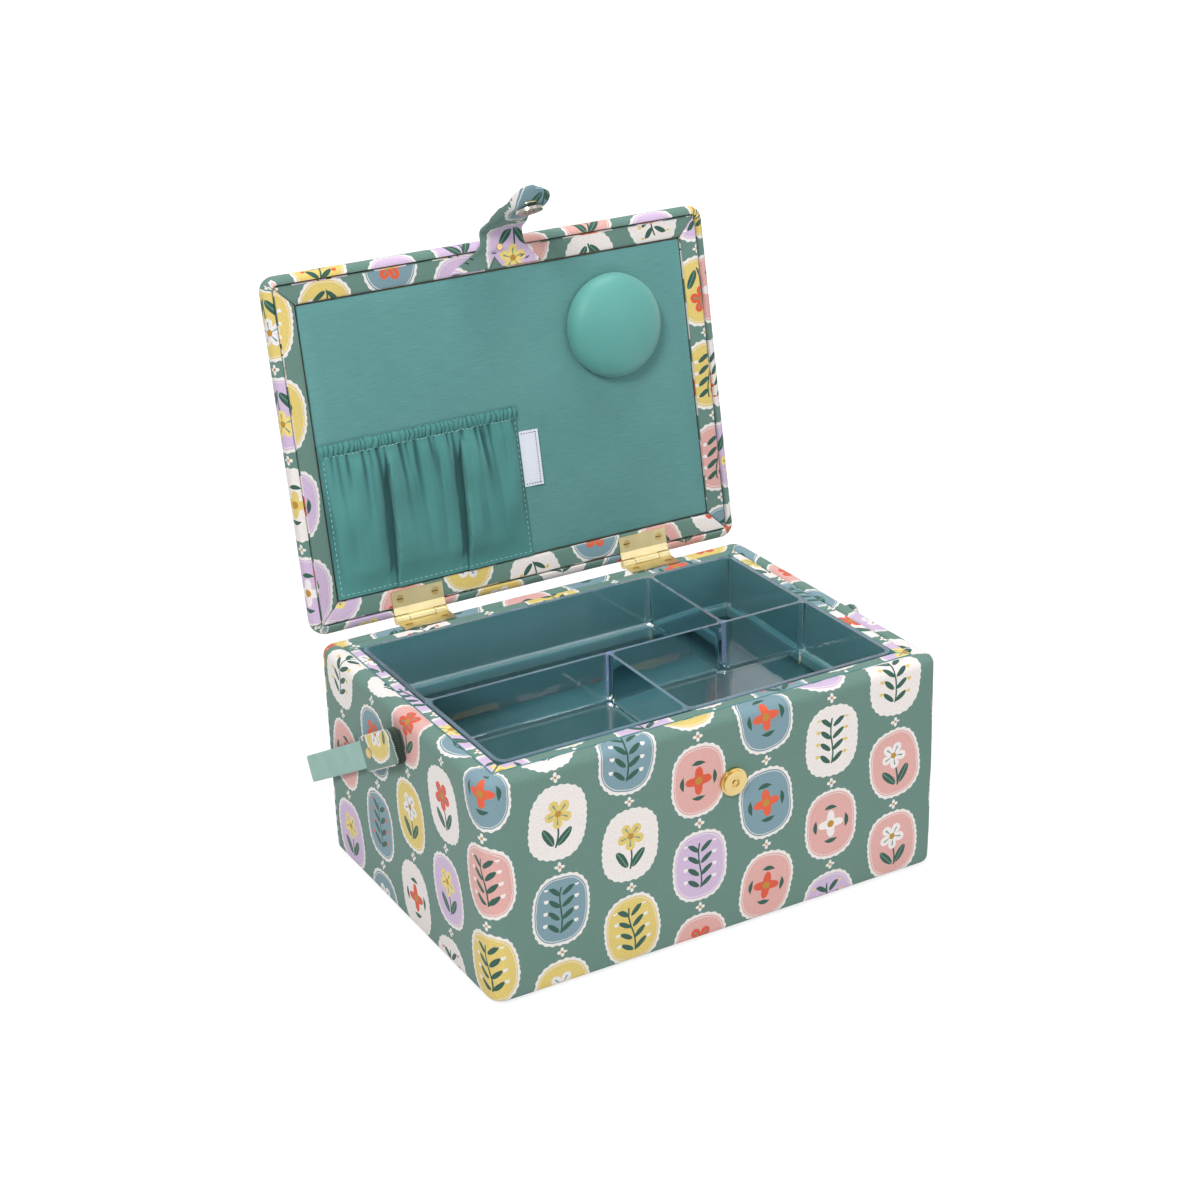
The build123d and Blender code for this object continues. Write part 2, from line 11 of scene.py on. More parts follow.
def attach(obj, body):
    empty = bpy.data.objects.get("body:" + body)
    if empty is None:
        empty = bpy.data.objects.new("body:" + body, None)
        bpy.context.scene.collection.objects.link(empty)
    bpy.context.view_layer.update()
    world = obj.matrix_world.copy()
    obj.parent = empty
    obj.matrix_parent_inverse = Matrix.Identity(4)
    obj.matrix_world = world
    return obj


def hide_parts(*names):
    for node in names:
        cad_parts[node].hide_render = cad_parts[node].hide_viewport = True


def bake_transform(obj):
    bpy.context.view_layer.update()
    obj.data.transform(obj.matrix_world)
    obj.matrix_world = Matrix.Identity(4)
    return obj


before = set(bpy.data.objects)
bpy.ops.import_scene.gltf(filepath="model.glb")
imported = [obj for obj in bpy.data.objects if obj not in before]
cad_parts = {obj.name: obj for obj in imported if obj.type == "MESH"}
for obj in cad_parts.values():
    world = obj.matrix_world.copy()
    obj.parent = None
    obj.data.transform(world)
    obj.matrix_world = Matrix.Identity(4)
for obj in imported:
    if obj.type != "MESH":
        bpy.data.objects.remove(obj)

log = logging.getLogger("sewing_box")
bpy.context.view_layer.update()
MM = 0.001
Point = tuple[float, float, float]
Uv = tuple[float, float]
Tree = bpy.types.NodeTree
Socket = bpy.types.NodeSocket
SIDES = ("front", "back", "left", "right")

# Edges up to these angles in degrees are shaded smooth: on firm pieces and on cloth
FIRM_EDGE = 50.0
SOFT_EDGE = 60.0

# A Mix node set to colours takes them at its sockets 6 and 7 and gives the result at output 2
COLOURS = {"out": 2, "data_type": "RGBA"}

# The lid is drawn shut and turned open about its hinge pins
PIN = Vector((0.0, 95.0, 121.0)) * MM
OPEN_ANGLE = math.radians(-100)
OPENED = Matrix.Translation(PIN) @ Matrix.Rotation(OPEN_ANGLE, 4, "X") @ Matrix.Translation(-PIN)

# Away from the lining of the shut lid, into the box
LID_DOWN = (0.0, 0.0, -1.0)


# Small tools shared by the sub-assemblies

def srgb(code: str) -> tuple[float, float, float, float]:
    """Turns an sRGB hex colour into the linear colour that shaders take.

    Args:
        code: Colour such as "64857B".

    Returns:
        Linear red, green, blue and an alpha of one.
    """
    channels = [int(code[i:i + 2], 16) / 255 for i in (0, 2, 4)]
    linear = [c / 12.92 if c <= 0.04045 else ((c + 0.055) / 1.055) ** 2.4 for c in channels]
    return linear[0], linear[1], linear[2], 1.0


def put(tree: Tree, kind: str, inputs: Optional[dict] = None, out: int | str = 0,
        **settings: object) -> Socket:
    """Adds one node, sets it up and links it.

    Args:
        tree: Node tree that gets the node.
        kind: Node type, such as "ShaderNodeMath".
        inputs: Socket name or index mapped to a value or to another node's output.
        out: Output to return.
        **settings: Properties of the node.

    Returns:
        The chosen output socket.
    """
    node = tree.nodes.new(kind)
    for key, value in settings.items():
        setattr(node, key, value)
    for key, value in (inputs or {}).items():
        if isinstance(value, Socket):
            tree.links.new(value, node.inputs[key])
        else:
            node.inputs[key].default_value = value
    return node.outputs[out] if len(node.outputs) else None


def place_mm(tree: Tree, source: str) -> Socket:
    """Place on a piece in millimetres, so that patterns take real sizes.

    Args:
        tree: Node tree of the finish.
        source: "UV" for the piece's cloth map and "Object" for its own axes.

    Returns:
        The place as a vector.
    """
    metres = put(tree, "ShaderNodeTexCoord", out=source)
    return put(tree, "ShaderNodeVectorMath", {0: metres, "Scale": 1.0 / MM}, operation="SCALE")


def select_only(obj: bpy.types.Object) -> None:
    """Makes one object active and the only selected one.

    Args:
        obj: The object.
    """
    bpy.ops.object.select_all(action="DESELECT")
    obj.select_set(True)
    bpy.context.view_layer.objects.active = obj


def apply_modifier(obj: bpy.types.Object, kind: str, **settings: object) -> None:
    """Adds a modifier with its settings and applies it.

    Args:
        obj: Mesh object.
        kind: Modifier type, such as "BEVEL".
        **settings: Properties of the modifier.
    """
    select_only(obj)
    modifier = obj.modifiers.new(kind.title(), kind)
    for key, value in settings.items():
        setattr(modifier, key, value)
    bpy.ops.object.modifier_apply(modifier=modifier.name)


def ease_edges(obj: bpy.types.Object, width: float, segments: int, degrees: float) -> None:
    """Rounds the edges of a piece that are sharper than an angle.

    Args:
        obj: Mesh object.
        width: Width of the rounding in millimetres.
        segments: Number of faces across it.
        degrees: Smallest angle that is rounded.
    """
    apply_modifier(obj, "BEVEL", width=width * MM, segments=segments, limit_method="ANGLE",
                   angle_limit=math.radians(degrees))


def smooth(obj: bpy.types.Object, degrees: float) -> None:
    """Shades an object smooth except at edges sharper than an angle."""
    select_only(obj)
    bpy.ops.object.shade_smooth_by_angle(angle=math.radians(degrees))


def thicken(obj: bpy.types.Object, ply: float) -> None:
    """Gives a sheet of cloth its thickness in millimetres, half to each side, and smooths it."""
    apply_modifier(obj, "SOLIDIFY", thickness=ply * MM, offset=0.0)
    smooth(obj, SOFT_EDGE)


def face_outwards(obj: bpy.types.Object) -> None:
    """Merges doubles and turns every face of a closed form outwards.

    Args:
        obj: Mesh object with a closed form.
    """
    select_only(obj)
    bpy.ops.object.mode_set(mode="EDIT")
    bpy.ops.mesh.select_all(action="SELECT")
    bpy.ops.mesh.remove_doubles(threshold=1e-6)
    bpy.ops.mesh.normals_make_consistent(inside=False)
    bpy.ops.object.mode_set(mode="OBJECT")


def mesh_piece(name: str, points: Sequence[Point], faces: Sequence[Sequence[int]],
               uvs: Optional[Sequence[Sequence[Uv]]] = None) -> bpy.types.Object:
    """Makes an object from points in millimetres, with a UV map in metres.

    Args:
        name: Name of the piece.
        points: Corners in millimetres.
        faces: Corner numbers of each face.
        uvs: For each face, one place in millimetres per corner.

    Returns:
        The new object, linked to the scene.
    """
    data = bpy.data.meshes.new(name)
    data.from_pydata([Vector(p) * MM for p in points], [], faces)
    if uvs is not None:
        layer = data.uv_layers.new(name="cloth")
        flat = [c * MM for corners in uvs for uv in corners for c in uv]
        layer.data.foreach_set("uv", flat)
    obj = bpy.data.objects.new(name, data)
    bpy.context.scene.collection.objects.link(obj)
    return obj


def lay_cloth(obj: bpy.types.Object, shift: Uv = (0.0, 0.0)) -> None:
    """Gives flat panels a UV map in metres, read straight off the two axes each face lies along.

    Args:
        obj: Mesh object.
        shift: Offset of the cloth in millimetres.
    """
    for spare in [layer.name for layer in obj.data.uv_layers if layer.name != "cloth"]:
        obj.data.uv_layers.remove(obj.data.uv_layers[spare])
    layer = obj.data.uv_layers.get("cloth") or obj.data.uv_layers.new(name="cloth")
    for face in obj.data.polygons:
        across = max(range(3), key=lambda axis: abs(face.normal[axis]))
        first, second = ((1, 2), (0, 2), (0, 1))[across]
        for loop in face.loop_indices:
            corner = obj.data.vertices[obj.data.loops[loop].vertex_index].co
            layer.data[loop].uv = (corner[first] + shift[0] * MM, corner[second] + shift[1] * MM)


def ripple(point: Vector, amount: float, size: float) -> float:
    """A smooth uneven height, the same on each run.

    Args:
        point: Place in millimetres.
        amount: Greatest height in millimetres.
        size: Width of a bump in millimetres.

    Returns:
        Height in millimetres.
    """
    return amount * noise.noise(point / size)


def ease(value: float, low: float, high: float) -> float:
    """Rises smoothly from 0 at the low value to 1 at the high value."""
    t = min(1.0, max(0.0, (value - low) / (high - low)))
    return t * t * (3 - 2 * t)


def rounded_ring(half_x: float, half_y: float, radius: float, along: tuple[int, int],
                 turn: int) -> list[Uv]:
    """Points round a rounded rectangle, counter-clockwise from its back left corner.

    Args:
        half_x: Half of the width.
        half_y: Half of the depth.
        radius: Corner radius.
        along: Number of points on a long side and on a short side.
        turn: Number of points on a corner.

    Returns:
        The points, which have the same order whatever the sizes are.
    """
    ring: list[Uv] = []
    corners = [(1, -1, -90.0), (1, 1, 0.0), (-1, 1, 90.0), (-1, -1, 180.0)]
    start = (-half_x + radius, -half_y)
    for index, (sx, sy, angle) in enumerate(corners):
        centre = (sx * (half_x - radius), sy * (half_y - radius))
        first = math.radians(angle)
        end = (centre[0] + radius * math.cos(first), centre[1] + radius * math.sin(first))
        count = along[index % 2]
        for i in range(count):
            t = i / count
            ring.append((start[0] + t * (end[0] - start[0]), start[1] + t * (end[1] - start[1])))
        for i in range(turn):
            a = math.radians(angle + 90.0 * i / turn)
            ring.append((centre[0] + radius * math.cos(a), centre[1] + radius * math.sin(a)))
        last = math.radians(angle + 90.0)
        start = (centre[0] + radius * math.cos(last), centre[1] + radius * math.sin(last))
    # The cloth's join stands at the back left corner
    first_left = 2 * along[0] + along[1] + 3 * turn
    return ring[first_left:] + ring[:first_left]


# Finishes

class Flower(Enum):
    """Motifs that the printed cotton's medallions hold."""

    DAISY = "daisy"
    SPRIG = "sprig"
    ROSETTE = "rosette"


class Finish:
    """A surface that makes its material once and hands the same one out after that."""

    name: str

    def material(self) -> bpy.types.Material:
        """Makes the material on the first call.

        Returns:
            The material.
        """
        made = bpy.data.materials.get(self.name)
        if made is None:
            made = bpy.data.materials.new(self.name)
            made.use_nodes = True
            made.node_tree.nodes.clear()
            put(made.node_tree, "ShaderNodeOutputMaterial", {"Surface": self.surface(made.node_tree)})
        return made

    def surface(self, tree: Tree) -> Socket:
        """Builds the shader in an empty node tree, each finish in its own way."""
        raise NotImplementedError


@dataclass(frozen=True)
class PrintedCotton(Finish):
    """Printed plain-weave cotton: matt, slightly chalky ink, the weave just visible."""

    name: str = "printed_cotton"
    ground: str = "64857B"
    medallions: tuple[str, ...] = ("DDA9A3", "7A98A3", "CDB6D4", "DDC572", "E9E2DF")
    blossoms: tuple[str, ...] = ("EDE6E4", "E0603F", "E9D27C", "E7E3E4", "D9573A")
    alternates: tuple[str, ...] = ("D9573A", "EDE6E4", "EDE6E4", "D9573A", "DDC572")
    border: str = "E9E4E0"
    leaf: str = "2F5A4C"
    vein: str = "6F9484"
    centre: str = "B98A34"
    column: float = 39.0
    drop: float = 47.0
    half_width: float = 15.6
    half_height: float = 19.4
    thread: float = 0.9
    roughness: float = 0.86
    sheen: float = 0.12

    def drawing(self, tree: Tree, place: Socket) -> dict[str, Socket]:
        """Draws the repeat: half-drop medallions that hold flowers, sprigs or rosettes.

        Args:
            tree: Node tree of the cloth.
            place: Place on the cloth in millimetres.

        Returns:
            Every shape and number of the drawing by its name.
        """
        # A hand-drawn line wanders by up to half a millimetre
        wobble = put(tree, "ShaderNodeTexNoise", {"Vector": place, "Scale": 0.12, "Detail": 2.0}, out="Color")
        drawn = put(tree, "ShaderNodeVectorMath", {0: wobble, 1: (1.1, 1.1, 0.0), 2: place},
                    operation="MULTIPLY_ADD")
        axes = put(tree, "ShaderNodeSeparateXYZ", {0: drawn}).node
        v: dict[str, Socket] = {"U": axes.outputs[0], "V": axes.outputs[1]}

        def work(sums: Iterable[tuple]) -> None:
            """Adds one arithmetic node for each (name, operation, operands...) sum.

            Args:
                sums: The sums, whose operands are numbers or the names of earlier results.
            """
            for name, operation, *operands in sums:
                inputs = {i: v.get(o, o) if isinstance(o, str) else o for i, o in enumerate(operands)}
                v[name] = put(tree, "ShaderNodeMath", inputs, operation=operation)

        # Half-drop grid: every second column sits half a repeat lower
        work([
            ("gx", "DIVIDE", "U", self.column), ("col", "FLOOR", "gx"),
            ("odd", "FLOORED_MODULO", "col", 2.0), ("gy0", "DIVIDE", "V", self.drop),
            ("gy", "MULTIPLY_ADD", "odd", 0.5, "gy0"), ("row", "FLOOR", "gy"),
            ("fx", "SUBTRACT", "gx", "col"), ("fy", "SUBTRACT", "gy", "row"),
            ("lx0", "SUBTRACT", "fx", 0.5), ("ly0", "SUBTRACT", "fy", 0.5),
            ("lx", "MULTIPLY", "lx0", self.column), ("ly", "MULTIPLY", "ly0", self.drop),
        ])
        cell = put(tree, "ShaderNodeCombineXYZ", {0: v["col"], 1: v["row"], 2: 3.7})
        dice = put(tree, "ShaderNodeTexWhiteNoise", {"Vector": cell}, out="Color", noise_dimensions="3D")
        roll = put(tree, "ShaderNodeSeparateColor", {0: dice}).node
        v["pick"], v["kind"], v["lean"] = roll.outputs[0], roll.outputs[1], roll.outputs[2]
        work([
            ("tilt0", "SUBTRACT", "lean", 0.5), ("tilt", "MULTIPLY", "tilt0", 0.34),
            ("c", "COSINE", "tilt"), ("s", "SINE", "tilt"),
            ("xc", "MULTIPLY", "lx", "c"), ("ys", "MULTIPLY", "ly", "s"), ("px", "SUBTRACT", "xc", "ys"),
            ("xs", "MULTIPLY", "lx", "s"), ("py", "MULTIPLY_ADD", "ly", "c", "xs"),
            ("ax", "ABSOLUTE", "px"), ("ay", "ABSOLUTE", "py"),
            # Oval medallion with a pale line round it
            ("ox0", "DIVIDE", "ax", self.half_width), ("ox", "POWER", "ox0", 2.6),
            ("oy0", "DIVIDE", "ay", self.half_height), ("oy", "POWER", "oy0", 2.6),
            ("oval0", "ADD", "ox", "oy"), ("round0", "ARCTAN2", "py", "px"),
            ("round1", "MULTIPLY", "round0", 30.0), ("round2", "COSINE", "round1"),
            ("oval", "MULTIPLY_ADD", "round2", 0.035, "oval0"),
            ("in_oval", "LESS_THAN", "oval", 1.0),
            ("in_field", "LESS_THAN", "oval0", 0.80), ("hair1", "GREATER_THAN", "oval0", 0.68),
            ("hair2", "LESS_THAN", "oval0", 0.715), ("hair", "MULTIPLY", "hair1", "hair2"),
            # Pair of leaves on a bent stem
            ("bend0", "MULTIPLY", "py", 0.22), ("bend", "SINE", "bend0"),
            ("sx", "MULTIPLY_ADD", "bend", 0.9, "px"), ("sx_abs", "ABSOLUTE", "sx"),
            ("stem1", "LESS_THAN", "sx_abs", 0.5), ("stem2", "LESS_THAN", "py", 2.0),
            ("stem3", "GREATER_THAN", "py", -13.0), ("stem4", "MULTIPLY", "stem1", "stem2"),
            ("stem", "MULTIPLY", "stem4", "stem3"),
            ("bx", "SUBTRACT", "ax", 4.4), ("by", "ADD", "py", 7.4),
            ("bxc", "MULTIPLY", "bx", 0.80), ("ex", "MULTIPLY_ADD", "by", -0.60, "bxc"),
            ("bxs", "MULTIPLY", "bx", 0.60), ("ey", "MULTIPLY_ADD", "by", 0.80, "bxs"),
            ("ex1", "DIVIDE", "ex", 2.1), ("ex2", "MULTIPLY", "ex1", "ex1"),
            ("ey1", "DIVIDE", "ey", 5.6), ("ey2", "MULTIPLY", "ey1", "ey1"),
            ("leaf0", "ADD", "ex2", "ey2"), ("leaf", "LESS_THAN", "leaf0", 1.0),
            ("ex_abs", "ABSOLUTE", "ex"), ("vein0", "LESS_THAN", "ex_abs", 0.22),
            ("vein", "MULTIPLY", "vein0", "leaf"),
            # Five-petalled flower over the leaves
            ("dy", "SUBTRACT", "py", 4.6), ("px2", "MULTIPLY", "px", "px"),
            ("rr2", "MULTIPLY_ADD", "dy", "dy", "px2"), ("rr", "SQRT", "rr2"),
            ("turn0", "ARCTAN2", "dy", "px"), ("turn1", "MULTIPLY_ADD", "turn0", 2.5, 0.8),
            ("turn2", "COSINE", "turn1"), ("turn3", "ABSOLUTE", "turn2"), ("turn", "POWER", "turn3", 0.55),
            ("edge", "MULTIPLY_ADD", "turn", 4.6, 3.0), ("petal", "LESS_THAN", "rr", "edge"),
            ("eye", "LESS_THAN", "rr", 1.7), ("ray0", "GREATER_THAN", "turn", 0.985),
            ("ray1", "LESS_THAN", "rr", 5.6), ("ray", "MULTIPLY", "ray0", "ray1"),
            # Sprig of paired leaflets with berries at their tips
            ("up", "ADD", "py", 13.0), ("rung0", "FLOORED_MODULO", "up", 6.6),
            ("rung", "SUBTRACT", "rung0", 3.6), ("qx", "SUBTRACT", "ax", 3.7),
            ("qxc", "MULTIPLY", "qx", 0.62), ("wx", "MULTIPLY_ADD", "rung", -0.78, "qxc"),
            ("qxs", "MULTIPLY", "qx", 0.78), ("wy", "MULTIPLY_ADD", "rung", 0.62, "qxs"),
            ("wx1", "DIVIDE", "wx", 1.35), ("wx2", "MULTIPLY", "wx1", "wx1"),
            ("wy1", "DIVIDE", "wy", 3.9), ("wy2", "MULTIPLY", "wy1", "wy1"),
            ("leaflet0", "ADD", "wx2", "wy2"), ("leaflet1", "LESS_THAN", "leaflet0", 1.0),
            ("span1", "LESS_THAN", "ay", 12.6), ("leaflet2", "MULTIPLY", "leaflet1", "span1"),
            ("stalk0", "LESS_THAN", "sx_abs", 0.45), ("stalk", "MULTIPLY", "stalk0", "span1"),
            ("leaflet", "MAXIMUM", "leaflet2", "stalk"),
            ("nx", "SUBTRACT", "ax", 8.3), ("nx2", "MULTIPLY", "nx", "nx"), ("ny", "SUBTRACT", "rung", 2.3),
            ("berry0", "MULTIPLY_ADD", "ny", "ny", "nx2"), ("berry1", "LESS_THAN", "berry0", 1.5),
            ("berry", "MULTIPLY", "berry1", "span1"),
            # Rosette of eight dots round a star
            ("rc2", "MULTIPLY_ADD", "py", "py", "px2"), ("rc", "SQRT", "rc2"),
            ("th0", "ARCTAN2", "py", "px"), ("th1", "MULTIPLY", "th0", 4.0), ("th2", "COSINE", "th1"),
            ("star0", "MULTIPLY_ADD", "th2", 2.0, 5.6), ("star", "LESS_THAN", "rc", "star0"),
            ("band0", "SUBTRACT", "rc", 9.6), ("band1", "ABSOLUTE", "band0"),
            ("band2", "MULTIPLY_ADD", "th2", -1.1, "band1"), ("beads", "LESS_THAN", "band2", 0.15),
            ("heart", "LESS_THAN", "rc", 2.0),
            # Which motif a medallion holds
            ("is_sprig", "GREATER_THAN", "kind", 0.66), ("not_daisy", "GREATER_THAN", "kind", 0.40),
            ("is_rosette", "SUBTRACT", "not_daisy", "is_sprig"), ("is_daisy", "SUBTRACT", 1.0, "not_daisy"),
            ("swap", "GREATER_THAN", "lean", 0.5),
            # Small blossoms on the ground above and below each medallion
            ("far", "SUBTRACT", "ay", self.drop / 2), ("far2", "MULTIPLY", "far", "far"),
            ("fr2", "MULTIPLY_ADD", "lx", "lx", "far2"), ("fr", "SQRT", "fr2"),
            ("fth0", "ARCTAN2", "far", "lx"), ("fth1", "MULTIPLY", "fth0", 2.0),
            ("fth2", "COSINE", "fth1"), ("fth3", "ABSOLUTE", "fth2"),
            ("fedge", "MULTIPLY_ADD", "fth3", 1.9, 0.9), ("spot", "LESS_THAN", "fr", "fedge"),
            ("spot_eye", "LESS_THAN", "fr", 0.8),
        ])
        return v

    def inks(self, tree: Tree, v: dict[str, Socket]) -> dict[str, object]:
        """Mixes the inks: fixed ones, and ones that change from medallion to medallion.

        Args:
            tree: Node tree of the cloth.
            v: The drawing.

        Returns:
            Each ink's colour by its name.
        """
        inks: dict[str, object] = {}
        changing = (("oval", self.medallions), ("first", self.blossoms), ("second", self.alternates))
        for key, colours in changing:
            ramp = put(tree, "ShaderNodeValToRGB", {0: v["pick"]})
            ramp.node.color_ramp.interpolation = "CONSTANT"
            marks = ramp.node.color_ramp.elements
            for index, code in enumerate(colours):
                mark = marks[index] if index < len(marks) else marks.new(index / len(colours))
                mark.position = index / len(colours)
                mark.color = srgb(code)
            inks[key] = ramp
        choice = {0: v["swap"], 6: inks["first"], 7: inks["second"]}
        inks["bloom"] = put(tree, "ShaderNodeMix", choice, **COLOURS)
        for key in ("border", "leaf", "vein", "centre"):
            inks[key] = srgb(getattr(self, key))
        return inks

    def surface(self, tree: Tree) -> Socket:
        """Prints the drawing on the woven ground.

        Args:
            tree: Empty node tree of the material.

        Returns:
            The shader.
        """
        place = place_mm(tree, "UV")
        v = self.drawing(tree, place)
        inks = self.inks(tree, v)
        # Printed from the ground up, each colour over the ones before
        order: list[tuple[str, Optional[Flower], str]] = [
            ("spot", None, "border"), ("spot_eye", None, "centre"), ("in_oval", None, "border"),
            ("in_field", None, "oval"), ("hair", None, "border"),
            ("stem", Flower.DAISY, "leaf"), ("leaf", Flower.DAISY, "leaf"), ("vein", Flower.DAISY, "vein"),
            ("petal", Flower.DAISY, "bloom"), ("ray", Flower.DAISY, "vein"), ("eye", Flower.DAISY, "centre"),
            ("leaflet", Flower.SPRIG, "leaf"), ("berry", Flower.SPRIG, "bloom"),
            ("star", Flower.ROSETTE, "bloom"), ("beads", Flower.ROSETTE, "leaf"),
            ("heart", Flower.ROSETTE, "centre"),
        ]
        colour: object = srgb(self.ground)
        for shape, motif, ink in order:
            mask = v[shape]
            if motif:
                held = put(tree, "ShaderNodeMath", {0: mask, 1: v["is_" + motif.value]}, operation="MULTIPLY")
                mask = put(tree, "ShaderNodeMath", {0: held, 1: v["in_field"]}, operation="MULTIPLY")
            colour = put(tree, "ShaderNodeMix", {0: mask, 6: colour, 7: inks[ink]}, **COLOURS)
        # Ink sits unevenly on the weave, in pale and dark flecks about a thread wide
        flecks = {"Vector": place, "Scale": 1.1, "Detail": 4.0, "Roughness": 0.8}
        fleck = put(tree, "ShaderNodeTexNoise", flecks)
        fleck_range = put(tree, "ShaderNodeMapRange", {0: fleck, 1: 0.36, 2: 0.72, 3: 0.86, 4: 1.1})
        inked = {0: 1.0, 6: colour, 7: fleck_range}
        printed = put(tree, "ShaderNodeMix", inked, blend_type="MULTIPLY", **COLOURS)
        weave = weave_height(tree, place, self.thread)
        bump = put(tree, "ShaderNodeBump", {"Strength": 0.25, "Distance": 0.0002, "Height": weave})
        return put(tree, "ShaderNodeBsdfPrincipled", {
            "Base Color": printed, "Roughness": self.roughness, "Normal": bump, "Sheen Weight": self.sheen,
            "Sheen Roughness": 0.6, "Specular IOR Level": 0.3})


def weave_height(tree: Tree, place: Socket,
                 thread: float) -> Socket:
    """Over-and-under threads of a plain weave.

    The real threads are about 0.3 mm apart, too fine to show, so they are drawn coarser.

    Args:
        tree: Node tree of the cloth.
        place: Place on the cloth in millimetres.
        thread: Thread spacing in millimetres.

    Returns:
        Height from 0 to 1.
    """
    axes = put(tree, "ShaderNodeSeparateXYZ", {0: place}).node
    height = None
    for index in (0, 1):
        along = {0: axes.outputs[index], 1: 2 * math.pi / thread}
        turn = put(tree, "ShaderNodeMath", along, operation="MULTIPLY")
        wave = put(tree, "ShaderNodeMath", {0: turn}, operation="SINE")
        if height is None:
            height = wave
        else:
            height = put(tree, "ShaderNodeMath", {0: height, 1: wave}, operation="ADD")
    grain = put(tree, "ShaderNodeTexNoise", {"Vector": place, "Scale": 1.1, "Detail": 2.0})
    return put(tree, "ShaderNodeMath", {0: height, 1: 0.25, 2: grain}, operation="MULTIPLY_ADD")


@dataclass(frozen=True)
class PlainCloth(Finish):
    """Dyed woven cloth in one colour: matt, with slubs or an even thread."""

    name: str
    colour: str
    deep: str
    slub: float = 0.0
    thread: float = 0.9
    roughness: float = 0.85
    sheen: float = 0.15
    relief: float = 0.22
    # How strongly painted shade darkens the folds, read from the crease attribute
    fold_shade: float = 0.0
    shade: str = "234F50"

    def surface(self, tree: Tree) -> Socket:
        """Builds the cloth, with darker and lighter threads and a fine weave.

        Args:
            tree: Empty node tree of the material.

        Returns:
            The shader.
        """
        place = place_mm(tree, "UV")
        # Slubs are thick threads that run on for 20 to 40 mm along the weft
        drawn = put(tree, "ShaderNodeVectorMath", {0: place, 1: (0.05, 1.0, 1.0)}, operation="MULTIPLY")
        uneven = {"Vector": drawn, "Scale": 1.7, "Detail": 4.0, "Roughness": 0.75}
        slubs = put(tree, "ShaderNodeTexNoise", uneven)
        cloud = put(tree, "ShaderNodeTexNoise", {"Vector": place, "Scale": 0.02, "Detail": 1.0})
        thick = put(tree, "ShaderNodeMath", {0: slubs, 1: 0.3 + 0.7 * self.slub}, operation="MULTIPLY")
        mixed = put(tree, "ShaderNodeMath", {0: cloud, 1: 0.4, 2: thick}, operation="MULTIPLY_ADD")
        span = {0: mixed, 1: 0.15 + 0.3 * self.slub, 2: 0.55 + 0.4 * self.slub}
        depth = put(tree, "ShaderNodeMapRange", span)
        colour = put(tree, "ShaderNodeMix", {0: depth, 6: srgb(self.deep), 7: srgb(self.colour)}, **COLOURS)
        if self.fold_shade:
            # Painted shade: where the crease attribute marks a fold, the colour is mixed towards the dark
            # shade colour
            crease = put(tree, "ShaderNodeAttribute", out="Fac", attribute_name="crease")
            share = put(tree, "ShaderNodeMath", {0: crease, 1: self.fold_shade}, operation="MULTIPLY")
            colour = put(tree, "ShaderNodeMix", {0: share, 6: colour, 7: srgb(self.shade)}, **COLOURS)
        weave = weave_height(tree, place, self.thread)
        raised = {0: slubs, 1: 2.0 * self.slub, 2: weave}
        height = put(tree, "ShaderNodeMath", raised, operation="MULTIPLY_ADD")
        bump = put(tree, "ShaderNodeBump", {"Strength": self.relief, "Distance": 0.0002, "Height": height})
        return put(tree, "ShaderNodeBsdfPrincipled", {
            "Base Color": colour, "Roughness": self.roughness, "Normal": bump, "Sheen Weight": self.sheen,
            "Sheen Roughness": 0.5, "Specular IOR Level": 0.3})


@dataclass(frozen=True)
class Metal(Finish):
    """Plated or solid metal: coloured reflections, fine drawing lines or tumbled texture."""

    name: str
    colour: str
    dark: str
    roughness: float = 0.28
    lines: float = 0.0

    def surface(self, tree: Tree) -> Socket:
        """Builds the metal with slightly uneven gloss.

        Args:
            tree: Empty node tree of the material.

        Returns:
            The shader.
        """
        place = place_mm(tree, "Object")
        stretch = (1.0 - 0.95 * self.lines, 1.0, 1.0)
        drawn = put(tree, "ShaderNodeVectorMath", {0: place, 1: stretch}, operation="MULTIPLY")
        # Drawing lines and tumbling marks are some hundredths of a millimetre apart, drawn coarser to show
        marks = {"Vector": drawn, "Scale": 2.2, "Detail": 4.0, "Roughness": 0.6}
        grain = put(tree, "ShaderNodeTexNoise", marks)
        tarnish = put(tree, "ShaderNodeTexNoise", {"Vector": place, "Scale": 0.07, "Detail": 2.0})
        age = put(tree, "ShaderNodeMapRange", {0: tarnish, 1: 0.4, 2: 0.9, 4: 0.7})
        colour = put(tree, "ShaderNodeMix", {0: age, 6: srgb(self.colour), 7: srgb(self.dark)}, **COLOURS)
        span = {0: grain, 1: 0.3, 2: 0.7, 3: self.roughness * 0.9, 4: self.roughness * 1.1}
        gloss = put(tree, "ShaderNodeMapRange", span)
        bump = put(tree, "ShaderNodeBump", {"Strength": 0.008, "Distance": 0.0001, "Height": grain})
        return put(tree, "ShaderNodeBsdfPrincipled", {
            "Base Color": colour, "Metallic": 1.0, "Roughness": gloss, "Normal": bump})


